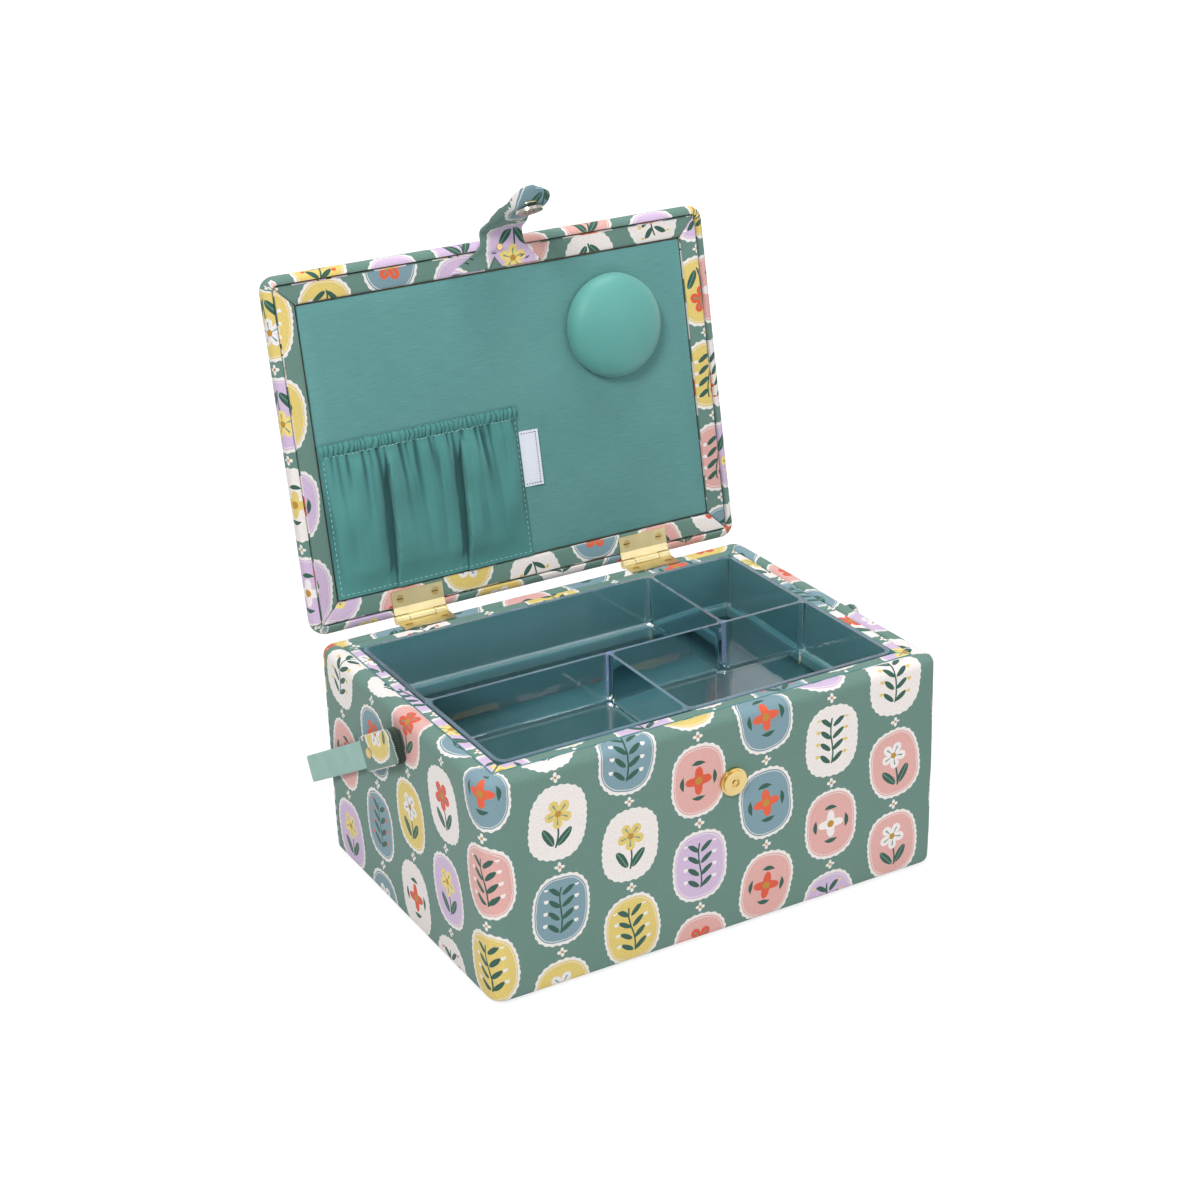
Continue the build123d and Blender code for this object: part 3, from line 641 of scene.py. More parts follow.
@dataclass(frozen=True)
class ClearStyrene(Finish):
    """Clear moulded polystyrene: glossy and colourless, violet where light gathers in its edges."""

    name: str = "clear_polystyrene"
    tint: str = "F7F9FC"
    edge: str = "8E9AE6"
    roughness: float = 0.03
    refraction: float = 1.45
    floor: float = 92.0
    lip: float = 119.8
    long_rib: float = 1.5
    cross_ribs: Uv = (60.5, -8.5)

    def surface(self, tree: Tree) -> Socket:
        """Builds the plastic; it lets light through to what lies under it.

        Args:
            tree: Empty node tree of the material.

        Returns:
            The shader.
        """
        place = place_mm(tree, "Object")
        flow = put(tree, "ShaderNodeTexNoise", {"Vector": place, "Scale": 0.05, "Detail": 2.0})
        bump = put(tree, "ShaderNodeBump", {"Strength": 0.08, "Distance": 0.001, "Height": flow})
        axes = put(tree, "ShaderNodeSeparateXYZ", {0: place}).node

        def near(axis: int, level: float, reach: float) -> Socket:
            """1 within a reach of a plane and 0 beyond it, read from the tray's own places."""
            plane = {0: axes.outputs[axis], 1: level, 2: reach}
            return put(tree, "ShaderNodeMath", plane, operation="COMPARE")

        def join(operation: str, *parts: Socket) -> Socket:
            """Combines masks by one arithmetic operation.

            Args:
                operation: Operation of the Math node.
                *parts: Masks, combined from the first to the last.

            Returns:
                The combined mask.
            """
            whole = parts[0]
            for part in parts[1:]:
                whole = put(tree, "ShaderNodeMath", {0: whole, 1: part}, operation=operation)
            return whole

        # Light gathers along the lip and where the ribs meet the floor, the walls and each other
        behind = {0: axes.outputs[1], 1: self.long_rib - 1.5}
        back = join("MULTIPLY", near(0, self.cross_ribs[0], 1.4),
                    put(tree, "ShaderNodeMath", behind, operation="GREATER_THAN"))
        ahead = {0: axes.outputs[1], 1: self.long_rib + 1.5}
        front = join("MULTIPLY", near(0, self.cross_ribs[1], 1.4),
                     put(tree, "ShaderNodeMath", ahead, operation="LESS_THAN"))
        ribs = join("MAXIMUM", near(1, self.long_rib, 1.6), back, front)
        feet = join("MULTIPLY", near(2, self.floor, 0.7), ribs)
        ends = join("MULTIPLY", near(1, self.long_rib, 1.5), join("MAXIMUM", back, front))
        faint = put(tree, "ShaderNodeMath", {0: near(2, self.lip, 0.25), 1: 0.3}, operation="MULTIPLY")
        uneven = put(tree, "ShaderNodeMapRange", {0: flow, 1: 0.35, 2: 0.65, 3: 0.35, 4: 1.0})
        gathered = join("MAXIMUM", join("MULTIPLY", join("MAXIMUM", feet, ends), uneven), faint)
        glow = put(tree, "ShaderNodeMath", {0: gathered, 1: 0.55}, operation="MULTIPLY")
        clear = put(tree, "ShaderNodeMath", {0: 1.0, 1: glow}, operation="SUBTRACT")
        colour = put(tree, "ShaderNodeMix", {0: gathered, 6: srgb(self.tint), 7: srgb(self.edge)}, **COLOURS)
        glass = put(tree, "ShaderNodeBsdfPrincipled", {
            "Base Color": colour, "Roughness": self.roughness, "IOR": self.refraction,
            "Transmission Weight": clear, "Normal": bump})
        through = put(tree, "ShaderNodeBsdfTransparent", {"Color": srgb(self.tint)})
        path = put(tree, "ShaderNodeLightPath").node
        # Light and what is seen through several walls pass straight, so that no wall behind turns black
        deep = put(tree, "ShaderNodeMath", {0: path.outputs["Ray Depth"], 1: 2.5}, operation="GREATER_THAN")
        soft = join("MAXIMUM", path.outputs["Is Shadow Ray"], path.outputs["Is Diffuse Ray"], deep)
        return put(tree, "ShaderNodeMixShader", {0: soft, 1: glass, 2: through})


@dataclass(frozen=True)
class Coating(Finish):
    """Coated strap or raw board: one colour with fine grain in relief."""

    name: str
    colour: str
    deep: str
    grain: float
    roughness: float
    relief: float

    def surface(self, tree: Tree) -> Socket:
        """Builds the surface from grain of a real size.

        Args:
            tree: Empty node tree of the material.

        Returns:
            The shader.
        """
        place = place_mm(tree, "Object")
        cells = put(tree, "ShaderNodeTexVoronoi", {"Vector": place, "Scale": 1.0 / self.grain})
        cloud = put(tree, "ShaderNodeTexNoise", {"Vector": place, "Scale": 0.06, "Detail": 3.0})
        depth = put(tree, "ShaderNodeMapRange", {0: cloud, 1: 0.35, 2: 0.65})
        colour = put(tree, "ShaderNodeMix", {0: depth, 6: srgb(self.deep), 7: srgb(self.colour)}, **COLOURS)
        bump = put(tree, "ShaderNodeBump", {"Strength": self.relief, "Distance": 0.0002, "Height": cells})
        return put(tree, "ShaderNodeBsdfPrincipled", {
            "Base Color": colour, "Roughness": self.roughness, "Normal": bump})


# Quilting cotton printed in flat inks: bright shapes on a soft green, with no gloss anywhere
PRINT = PrintedCotton()
# Dyed lining cotton: an even, matt teal with a few thick threads
INSIDE_CLOTH = PlainCloth("teal_lining_cotton", "5B9091", "497C7E", slub=0.4)
# Slub linen: the coarse weft draws fine level streaks over the panel
PANEL_CLOTH = PlainCloth("teal_slub_linen", "649A97", "528786", slub=1.0, thread=1.0, relief=0.3)
# Thin cotton, with painted shade in its folds, so that the gathers read from afar
POCKET_CLOTH = PlainCloth("teal_pocket_cotton", "53918E", "458280", thread=0.8, relief=0.15, fold_shade=0.85)
# Satin: long floating threads give the dome a broad soft shine
SATIN = PlainCloth("teal_satin", "5FA39E", "54988F", thread=0.6, roughness=0.45, sheen=0.2, relief=0.05)
# Satin tape: a cool white that is smoother than the cloth round it
LABEL_SATIN = PlainCloth("white_satin_tape", "E6E9F2", "D5DAE8", thread=0.8, roughness=0.4, sheen=0.3)
# Bonded base cloth: nearly black and flat, so that the underside keeps quiet
UNDERSIDE = PlainCloth("dark_base_cloth", "34383A", "26292B", thread=1.0)
# Painted shade in the folded tab's hollow: dark green cloth, so that the hollow reads as deep
HOLLOW_SHADE = PlainCloth("tab_hollow_painted_shade", "35463F", "27352F", thread=1.0)
# Polyester sewing threads: matt, and told from the cloth by their tone alone
PALE_THREAD = PlainCloth("pale_teal_thread", "9CC9C4", "86B7B2", thread=0.4)
WHITE_THREAD = PlainCloth("off_white_thread", "E6E2DC", "CFCBC4", thread=0.4)
DARK_THREAD = PlainCloth("black_thread", "23292A", "15191A", thread=0.4)
# Rolled and pressed brass plate: pale, and brushed by the rolling, so that its shine is drawn out
LEAF_BRASS = Metal("pressed_brass_plate", "DACC9E", "BDAC7B", 0.42, 0.9)
# Turned brass: warmer and a little glossier than the plate round it
SCREW_BRASS = Metal("turned_brass", "D2B679", "A98A50", 0.36)
# Painted shade in the screw heads' recesses: dark brown, dull brass
RECESS_SHADE_BRASS = Metal("recess_painted_shade_brass", "6E552B", "4E3A1A", 0.5)
# Gilt plating, tumbled smooth: small sharp lights on the snap
SNAP_BRASS = Metal("gilt_snap_plating", "DFC88F", "C3A560", 0.24)
# Nickel-plated steel: grey and as glossy as the gilt
SNAP_STEEL = Metal("bright_nickel", "BDBAB0", "A3A097", 0.25)
# Injection-moulded polystyrene: all but invisible, with bright lines along its ribs
STYRENE = ClearStyrene()
# Polyurethane-coated strap: satin mint with a leather-like grain that hardly shows
MINT_STRAP = Coating("mint_coated_strap", "8CB5AB", "83ACA1", 0.5, 0.48, 0.06)
# Grey bookboard: rough and dull, under the cloth
BOARD = Coating("grey_bookboard", "8A8272", "7A7263", 0.6, 0.9, 0.2)


# Sub-assemblies

@dataclass
class SubAssembly:
    """Shared ways of adding pieces to the object."""

    body: str = "base"

    def add(self, obj: bpy.types.Object, finish: Finish, stands_for: Sequence[str] = (), slot: str = "",
            body: str = "", second: Optional[Finish] = None) -> bpy.types.Object:
        """Dresses a piece, puts it on its body and reports it.

        Args:
            obj: The finished mesh.
            finish: Finish of the piece.
            stands_for: CAD nodes that the piece replaces.
            slot: Material slot of the record; not used.
            body: Body that it rides on, where that isn't the sub-assembly's own.
            second: Finish of the faces whose material index is already 1.

        Returns:
            The piece.
        """
        chosen = [face.material_index for face in obj.data.polygons]
        obj.data.materials.clear()
        obj.data.materials.append(finish.material())
        if second:
            obj.data.materials.append(second.material())
            obj.data.polygons.foreach_set("material_index", chosen)
        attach(obj, body or self.body)
        if stands_for:
            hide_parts(*stands_for)
        log.info("%s: %d faces", obj.name, len(obj.data.polygons))
        return obj


def dress(nodes: Iterable[str], finish: Finish) -> None:
    """Gives CAD nodes that stay as they are a finish.

    Args:
        nodes: Names of the nodes.
        finish: Finish of the nodes.
    """
    for name in nodes:
        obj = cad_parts[name]
        obj.data.materials.clear()
        obj.data.materials.append(finish.material())
        for face in obj.data.polygons:
            face.material_index = 0
        log.info("%s: %s", name, finish.name)


@dataclass
class Outline:
    """The box's plan, which the base and the lid share."""

    half_x: float = 130.0
    half_y: float = 94.0
    corner: float = 8.0
    sharp: float = 0.8
    along: tuple[int, int] = (66, 48)
    turn: int = 8

    def ring(self, inset: float) -> list[Uv]:
        """Points round the plan drawn in by an inset."""
        radius = max(self.corner - inset, self.sharp)
        return rounded_ring(self.half_x - inset, self.half_y - inset, radius, self.along, self.turn)

    def runs(self) -> list[float]:
        """Distance along the plan from its back left corner to each point, and once round."""
        ring = self.ring(0.0)
        return profile_runs(ring + ring[:1])


def profile_runs(profile: Sequence[Uv]) -> list[float]:
    """Distance along a profile to each of its points.

    Args:
        profile: Points in order.

    Returns:
        One distance for each point, the first of them nought.
    """
    total = [0.0]
    for a, b in zip(profile, profile[1:]):
        total.append(total[-1] + math.dist(a, b))
    return total


def arc(centre: Uv, radius: float, start: float, end: float, count: int) -> list[Uv]:
    """Points along an arc, both ends included.

    Args:
        centre: Centre of the arc.
        radius: Radius of the arc.
        start: First angle in degrees.
        end: Last angle in degrees.
        count: Number of points.

    Returns:
        The points.
    """
    turns = [math.radians(start + (end - start) * i / (count - 1)) for i in range(count)]
    return [(centre[0] + radius * math.cos(a), centre[1] + radius * math.sin(a)) for a in turns]


def line(start: Uv, end: Uv, count: int) -> list[Uv]:
    """Points along a straight line, the last left out."""
    (x, y), (across, up) = start, (end[0] - start[0], end[1] - start[1])
    return [(x + across * i / count, y + up * i / count) for i in range(count)]


@dataclass
class BaseBox(SubAssembly):
    """Padded base: printed cover over wadding, rim bindings, and the plain lining inside."""

    plan: Outline = field(default_factory=Outline)
    height: float = 120.0
    foot: float = 1.2
    foot_radius: float = 3.0
    rim_radius: float = 5.2
    wall: float = 10.0
    board_faces: Uv = (4.1, 8.1)
    board_top: float = 116.8
    board_foot: float = 2.2
    puff: float = 0.7
    puff_endwise: float = 0.15
    snap: Uv = (5.0, 84.4)
    ledge: float = 90.0
    floor_foot: float = 6.05
    floor_top: float = 9.0
    floor_inset: float = 12.1
    underside_inset: float = 5.2

    def cover_profile(self) -> list[Uv]:
        """Section through the padded wall, as (inset, height) points from the foot over the rim.

        Returns:
            The closed section's points.
        """
        top, rim, turned = self.height, self.rim_radius, self.foot_radius
        section = line((5.6, self.foot + 0.3), (3.4, self.foot), 3)
        section += arc((turned, self.foot + turned), turned, 270, 180, 7)
        section += line((0.0, self.foot + 3.6), (0.0, top - 6.5), 44)[1:]
        section += arc((rim, top - rim), rim, 180, 90, 10)
        section += line((5.6, top), (8.4, top - 0.1), 4)
        # The cloth dips in a groove before it turns down inside the wall
        section += [(8.9, top - 0.35), (9.25, top - 0.95), (9.5, top - 0.7), (9.8, top - 0.8)]
        section += [(9.95, top - 1.6)]
        section += line((self.wall, top - 2.5), (self.wall, self.ledge), 8)
        outside, inside = self.board_faces
        section += [(self.wall, self.ledge), (inside, self.ledge), (inside, self.board_top)]
        section += [(outside, self.board_top), (outside, self.board_foot)]
        return section

    def cover(self) -> None:
        """Sweeps the section round the plan, with slightly uneven wadding."""
        section = self.cover_profile()
        lengths = profile_runs(section)
        # The hidden stretch under the board closes the section
        lengths.append(lengths[-1] + 4.0)
        runs = self.plan.runs()

        def lay(row: int, n: int) -> Uv:
            """Cloth wrapped round the walls, upright on each."""
            return runs[n], lengths[row]

        def form(place: Vector, out: Vector, row: int) -> Point:
            """Adds the soft swell of the walls, which the snap presses in and the tabs' walls keep flat.

            Args:
                place: Point of the plain section, in millimetres.
                out: Direction outwards.
                row: Number of the section's point.

            Returns:
                The shifted point.
            """
            inset, z = section[row]
            hidden = inset > 9.6 or z < 2.0 or inset > 5.6 and z < 3.0
            wall = ease(z, 3.0, 26.0) * (1 - ease(z, 92.0, 117.0)) if inset < 2 else 0.0
            endwise = abs(out.x) > 0.7
            swell = (self.puff_endwise if endwise else self.puff) * wall
            soft = 0.0 if hidden else (0.12 if endwise else 0.3)
            push = swell + ripple(place, soft, 24.0) + ripple(place.yzx, soft * 0.4, 7.0)
            if place.y < 0 and not endwise:
                away = math.hypot(place.x - self.snap[0], place.z - self.snap[1])
                push *= ease(away, 8.0, 24.0)
            lift = -abs(ripple(place, 0.3, 15.0)) if z > self.height - 5 and not hidden else 0.0
            return (place.x + out.x * push, place.y + out.y * push, place.z + lift)

        obj = sweep("padded_cover_base", self.plan, section, True, lay, form)
        self.add(obj, PRINT, ["padded_base_cover"], "printed_padding")

    def strips(self) -> None:
        """Rim bindings, tray ledges and side linings, each of four mitred cloth-covered strips."""
        # Each kind's insets from the plan, its lowest and highest height, its finish and its slot
        for kind, outer, inner, foot, top, finish, slot in (
                ("rim_strip", 10.05, 16.0, self.ledge, 119.6, PRINT, "printed_trim"),
                ("tray_ledge", 8.05, 22.0, 84.0, self.ledge, INSIDE_CLOTH, "interior_cloth"),
                ("side_lining", 8.05, 12.0, self.floor_foot, 84.0, INSIDE_CLOTH, "interior_cloth")):
            printed = kind == "rim_strip"
            for side in SIDES:
                obj = mitred_strip(f"{kind}_cloth_{side}", self.plan, side, outer, inner, foot, top, 0.8)
                lay_cloth(obj, (17.0, 131.0) if printed else (0.0, 0.0))
                # The printed cloth ends where the strip's edges turn down, and the plain lining begins
                for face in obj.data.polygons:
                    face.material_index = int(printed and face.normal.z < 0.8)
                self.add(obj, finish, [f"{kind}_{side}"], slot, second=INSIDE_CLOTH if printed else None)

    def floor(self) -> None:
        """Soft floor lining and the flat cloth under the box."""
        half_x, half_y = self.plan.half_x - self.floor_inset, self.plan.half_y - self.floor_inset
        obj = soft_slab("floor_cloth", half_x, half_y, self.floor_foot, self.floor_top, 1.0, 0.4)
        self.add(obj, INSIDE_CLOTH, ["floor_lining"], "interior_cloth")
        half_x, half_y = self.plan.half_x - self.underside_inset, self.plan.half_y - self.underside_inset
        obj = soft_slab("underside_cloth", half_x, half_y, 0.0, 2.0, 0.5, 0.0, 6.0)
        self.add(obj, UNDERSIDE, ["underside_panel"], "underside_card")

    def build(self) -> None:
        """Builds every piece of the base that shows."""
        self.cover()
        self.strips()
        self.floor()
        dress([f"{side}_board" for side in SIDES] + ["bottom_board"], BOARD)


def block(name: str, size: Point, place: Point) -> bpy.types.Object:
    """Adds a plain block, its size and place kept in its mesh.

    Args:
        name: Name of the piece.
        size: Width, depth and height.
        place: Its middle.

    Returns:
        The block, which is the active and only selected object.
    """
    bpy.ops.object.select_all(action="DESELECT")
    bpy.ops.mesh.primitive_cube_add(size=1.0, location=Vector(place) * MM)
    obj = bpy.context.object
    obj.name = name
    obj.scale = Vector(size) * MM
    bpy.ops.object.transform_apply(location=True, rotation=True, scale=True)
    return obj


def mitred_strip(name: str, plan: Outline, side: str, outer: float, inner: float, foot: float,
                 top: float, edge: float) -> bpy.types.Object:
    """One strip of a frame: a bar cut at 45 degrees at both ends, with eased edges.

    Args:
        name: Name of the piece.
        plan: Plan that the frame follows.
        side: Which side of the plan the strip lies along.
        outer: Inset of its outer face.
        inner: Inset of its inner face.
        foot: Lowest height.
        top: Highest height.
        edge: Radius of its edges.

    Returns:
        The strip, in millimetre sizes turned to metres.
    """
    lengthways = side in ("front", "back")
    sign = -1 if side in ("front", "left") else 1
    near, far = (plan.half_y, plan.half_x) if lengthways else (plan.half_x, plan.half_y)
    middle = sign * (near - (outer + inner) / 2)
    size = (2 * (far - outer), inner - outer, top - foot)
    place = (0.0, middle, (foot + top) / 2)
    if not lengthways:
        size, place = (size[1], size[0], size[2]), (middle, 0.0, place[2])
    obj = block(name, size, place)
    bpy.ops.object.mode_set(mode="EDIT")
    for end in (-1, 1):
        if lengthways:
            corner, normal = (end * (far - outer), sign * (near - outer), 0.0), (end, -sign, 0.0)
        else:
            corner, normal = (sign * (near - outer), end * (far - outer), 0.0), (-sign, end, 0.0)
        bpy.ops.mesh.select_all(action="SELECT")
        # The mitre keeps the side of the cut that holds the strip's middle
        bpy.ops.mesh.bisect(plane_co=Vector(corner) * MM, plane_no=normal, use_fill=True, clear_outer=True)
    bpy.ops.mesh.select_all(action="SELECT")
    bpy.ops.mesh.normals_make_consistent(inside=False)
    bpy.ops.object.mode_set(mode="OBJECT")
    obj.data.name = name
    # The mitre's corners are 45 degrees, so the limit stays under that
    ease_edges(obj, edge, 3, 40.0)
    smooth(obj, FIRM_EDGE)
    return obj


def soft_slab(name: str, half_x: float, half_y: float, foot: float, top: float, edge: float,
              swell: float, corner: float = 0.0, facing: int = 1) -> bpy.types.Object:
    """A flat cloth-covered panel with eased edges and a slightly swelling face.

    Args:
        name: Name of the piece.
        half_x: Half of its width.
        half_y: Half of its depth.
        foot: Lowest height.
        top: Highest height.
        edge: Radius of its edges.
        swell: How far the middle of the top rises.
        corner: Radius of its upright corners.
        facing: 1 where its upper face swells and -1 where its lower face does.

    Returns:
        The panel.
    """
    obj = block(name, (2 * half_x, 2 * half_y, top - foot), (0.0, 0.0, (foot + top) / 2))
    if corner > 0:
        bpy.ops.object.mode_set(mode="EDIT")
        bpy.ops.mesh.select_all(action="DESELECT")
        bpy.ops.object.mode_set(mode="OBJECT")
        for e in obj.data.edges:
            a, b = (obj.data.vertices[i].co for i in e.vertices)
            e.select = abs(a.z - b.z) > 1e-6
        bpy.ops.object.mode_set(mode="EDIT")
        bpy.ops.mesh.bevel(offset=corner * MM, segments=6, affect="EDGES")
        bpy.ops.object.mode_set(mode="OBJECT")
    ease_edges(obj, edge, 3, FIRM_EDGE)
    if swell > 0:
        inset_face(obj, facing, 9, min(half_x, half_y), swell)
    lay_cloth(obj)
    smooth(obj, FIRM_EDGE)
    return obj


def inset_face(obj: bpy.types.Object, facing: int, rings: int, half: float, swell: float) -> None:
    """Insets a panel's broad face ring by ring and raises each ring a little.

    Args:
        obj: Panel.
        facing: 1 for its upper face and -1 for its lower one.
        rings: Number of rings.
        half: Half of its shorter side.
        swell: Rise of the middle.
    """
    select_only(obj)
    level = [face for face in obj.data.polygons if face.normal.z * facing > 0.999]
    broad = max(level, key=lambda face: face.area)
    for vertex in obj.data.vertices:
        vertex.select = False
    for edge in obj.data.edges:
        edge.select = False
    for face in obj.data.polygons:
        face.select = face.index == broad.index
    bpy.ops.object.mode_set(mode="EDIT")
    bpy.ops.mesh.select_mode(type="FACE")
    step = half * 0.8 / rings
    for index in range(rings):
        rise = swell * (math.cos(math.pi * index / rings) - math.cos(math.pi * (index + 1) / rings)) / 2
        bpy.ops.mesh.inset(thickness=step * MM, depth=rise * MM)
    bpy.ops.object.mode_set(mode="OBJECT")


def sweep(name: str, plan: Outline, section: Sequence[Uv], closed: bool,
          lay: Callable[[int, int], Uv], form: Callable[[Vector, Vector, int], Point]) -> bpy.types.Object:
    """Carries a section round the plan.

    Args:
        name: Name of the piece.
        plan: Plan that the section follows.
        section: (inset, height) points; the ends are capped unless the section is closed.
        closed: Whether the last point joins the first.
        lay: Place on the cloth for a section point and a plan point.
        form: Shifts a point, given its place, the direction outwards and its section point.

    Returns:
        The closed form.
    """
    count = len(plan.ring(0.0))
    points: list[Point] = []
    for row, (inset, z) in enumerate(section):
        for (x, y), (ox, oy) in zip(plan.ring(inset), plan.ring(inset - 1.0)):
            out = Vector((ox - x, oy - y, 0.0))
            if out.length > 1e-6:
                out.normalize()
            points.append(form(Vector((x, y, z)), out, row))
    faces: list[tuple[int, ...]] = []
    uvs: list[tuple[Uv, ...]] = []
    rows = len(section)
    for r in range(rows if closed else rows - 1):
        nr = (r + 1) % rows
        for n in range(count):
            nn = (n + 1) % count
            faces.append((r * count + n, r * count + nn, nr * count + nn, nr * count + n))
            uvs.append((lay(r, n), lay(r, n + 1), lay(r + 1, n + 1), lay(r + 1, n)))
    if not closed:
        for r in (0, rows - 1):
            faces.append(tuple(r * count + n for n in range(count)))
            uvs.append(tuple(lay(r, n) for n in range(count)))
    obj = mesh_piece(name, points, faces, uvs)
    face_outwards(obj)
    smooth(obj, FIRM_EDGE)
    return obj


def open_out(obj: bpy.types.Object) -> bpy.types.Object:
    """Turns a piece that was drawn on the shut lid to where it is at rest."""
    obj.data.transform(OPENED)
    return obj


@dataclass
class LidAssembly(SubAssembly):
    """Padded lid: printed cover with its wrap, mitred frame strips and the teal lining panel."""

    body: str = "lid"
    plan: Outline = field(default_factory=Outline)
    face: float = 122.0
    face_radius: float = 4.0
    top: float = 134.0
    top_radius: float = 6.0
    seat: float = 126.0
    board_foot: float = 129.2
    frame_face: float = 122.9
    frame_insets: Uv = (5.1, 15.7)
    panel_face: float = 123.5
    panel_half: Uv = (113.4, 77.4)
    swell: float = 1.0

    def cover(self) -> None:
        """Sweeps the cover from behind the frame round the edge to the middle of the top."""
        over = (8.0, 12.0, 18.0, 26.0, 36.0, 48.0, 62.0, 76.0, 90.0)
        section: list[Uv] = [(inset, self.board_foot) for inset in (90.0, 40.0, 4.45)]
        section += [(4.45, self.seat), (4.55, 123.4), (4.4, 122.6)]
        section += arc((self.face_radius, self.face + self.face_radius), self.face_radius, 272, 180, 9)
        section += [(0.0, 126.5), (0.0, 127.0), (0.0, 127.5)]
        section += arc((self.top_radius, self.top - self.top_radius), self.top_radius, 180, 90, 10)
        crest = len(section) - 1
        section += [(inset, self.top) for inset in over]
        lengths = profile_runs(section)
        # Below the crest the cloth is turned down, so that it lies further out on the flat sheet
        level = section[crest][0]
        sheets = [self.plan.ring(inset if i >= crest else level - (lengths[crest] - lengths[i]))
                  for i, (inset, _) in enumerate(section)]

        def lay(row: int, n: int) -> Uv:
            """Cloth laid flat over the top and turned down all round."""
            return sheets[row][n % len(sheets[row])]

        def form(place: Vector, out: Vector, row: int) -> Point:
            """Adds the wadding's soft rise and small unevenness.

            Args:
                place: Point of the plain section, in millimetres.
                out: Direction outwards.
                row: Number of the section's point.

            Returns:
                The shifted point.
            """
            soft = 0.0 if row < 5 else 0.3
            push = ripple(place, soft, 22.0) + ripple(place.yzx, soft * 0.4, 6.0)
            side = 0.35 * push if row < crest else 0.0
            rise = self.swell * ease(section[row][0], 4.0, 46.0) + 0.6 * push if row >= crest else 0.0
            return (place.x + out.x * side, place.y + out.y * side, place.z + rise)

        obj = sweep("padded_cover_lid", self.plan, section, False, lay, form)
        self.add(open_out(obj), PRINT, ["padded_lid_cover"], "printed_padding")

    def frame_strips(self) -> None:
        """Four mitred strips round the lining, between the wrap and the panel."""
        outer, inner = self.frame_insets
        for index, side in enumerate(SIDES):
            name = f"lid_frame_cloth_{side}"
            obj = mitred_strip(name, self.plan, side, outer, inner, self.frame_face, self.seat, 1.3)
            lay_cloth(obj, (17.0 * index, 23.0))
            self.add(open_out(obj), PRINT, [f"lid_frame_{side}"], "printed_trim")

    def panel(self) -> None:
        """Lining panel, slightly soft, with a gap all round it."""
        obj = soft_slab("lid_panel_cloth", *self.panel_half, self.panel_face, self.seat, 0.9, 0.25, facing=-1)
        self.add(open_out(obj), PANEL_CLOTH, ["lid_panel"], "panel_cloth")

    def build(self) -> None:
        """Builds every piece of the lid's shell that shows."""
        self.cover()
        self.frame_strips()
        self.panel()
        dress(["lid_board"], BOARD)


def grid_faces(rows: int, wide: int) -> list[tuple[int, ...]]:
    """Corner numbers of the faces of a grid of points, for a number of rows and of columns."""
    return [(r * wide + c, r * wide + c + 1, (r + 1) * wide + c + 1, (r + 1) * wide + c)
            for r in range(rows - 1) for c in range(wide - 1)]


def cloth_grid(name: str, columns: Sequence[float], rows: Sequence[float],
               place: Callable[[float, float], Point], lay: Callable[[float, float], Uv]) -> bpy.types.Object:
    """A single sheet of cloth over a grid of two parameters.

    Args:
        name: Name of the piece.
        columns: Values of the first parameter.
        rows: Values of the second parameter.
        place: Point for a pair of parameters, in millimetres.
        lay: Place on the cloth for a pair of parameters.

    Returns:
        The sheet, with no thickness yet.
    """
    points = [place(a, b) for b in rows for a in columns]
    wide = len(columns)
    faces = grid_faces(len(rows), wide)
    uvs = [tuple(lay(columns[n % wide], rows[n // wide]) for n in face) for face in faces]
    return mesh_piece(name, points, faces, uvs)


def thread_row(name: str, places: Sequence[tuple[Point, Point, Point]], length: float,
               width: float) -> bpy.types.Object:
    """Short stitches or loose threads, all copies of one small rounded dash.

    Args:
        name: Name of the piece.
        places: For each stitch its middle, its direction and the direction away from the cloth.
        length: Length of a stitch.
        width: Thickness of the thread.

    Returns:
        The stitches as one piece.
    """
    bpy.ops.object.select_all(action="DESELECT")
    bpy.ops.mesh.primitive_uv_sphere_add(segments=6, ring_count=5, radius=0.5)
    dash = bpy.context.object
    shape = [v.co.copy() for v in dash.data.vertices]
    skin = [tuple(face.vertices) for face in dash.data.polygons]
    bpy.data.objects.remove(dash)
    points: list[Point] = []
    faces: list[tuple[int, ...]] = []
    for middle, along, away in places:
        z_axis = Vector(along).normalized()
        x_axis = Vector(away).normalized()
        y_axis = z_axis.cross(x_axis)
        start = len(points)
        for corner in shape:
            spot = (Vector(middle) + z_axis * corner.z * length + x_axis * corner.x * width
                    + y_axis * corner.y * width * 1.2)
            points.append(tuple(spot))
        faces.extend(tuple(start + i for i in face) for face in skin)
    obj = mesh_piece(name, points, faces)
    face_outwards(obj)
    smooth(obj, SOFT_EDGE)
    lay_cloth(obj)
    return obj


def steps(start: float, end: float, size: float) -> list[float]:
    """Evenly spaced values from start to end, both included, about a size apart."""
    count = max(1, round(abs(end - start) / size))
    return [start + (end - start) * i / count for i in range(count + 1)]


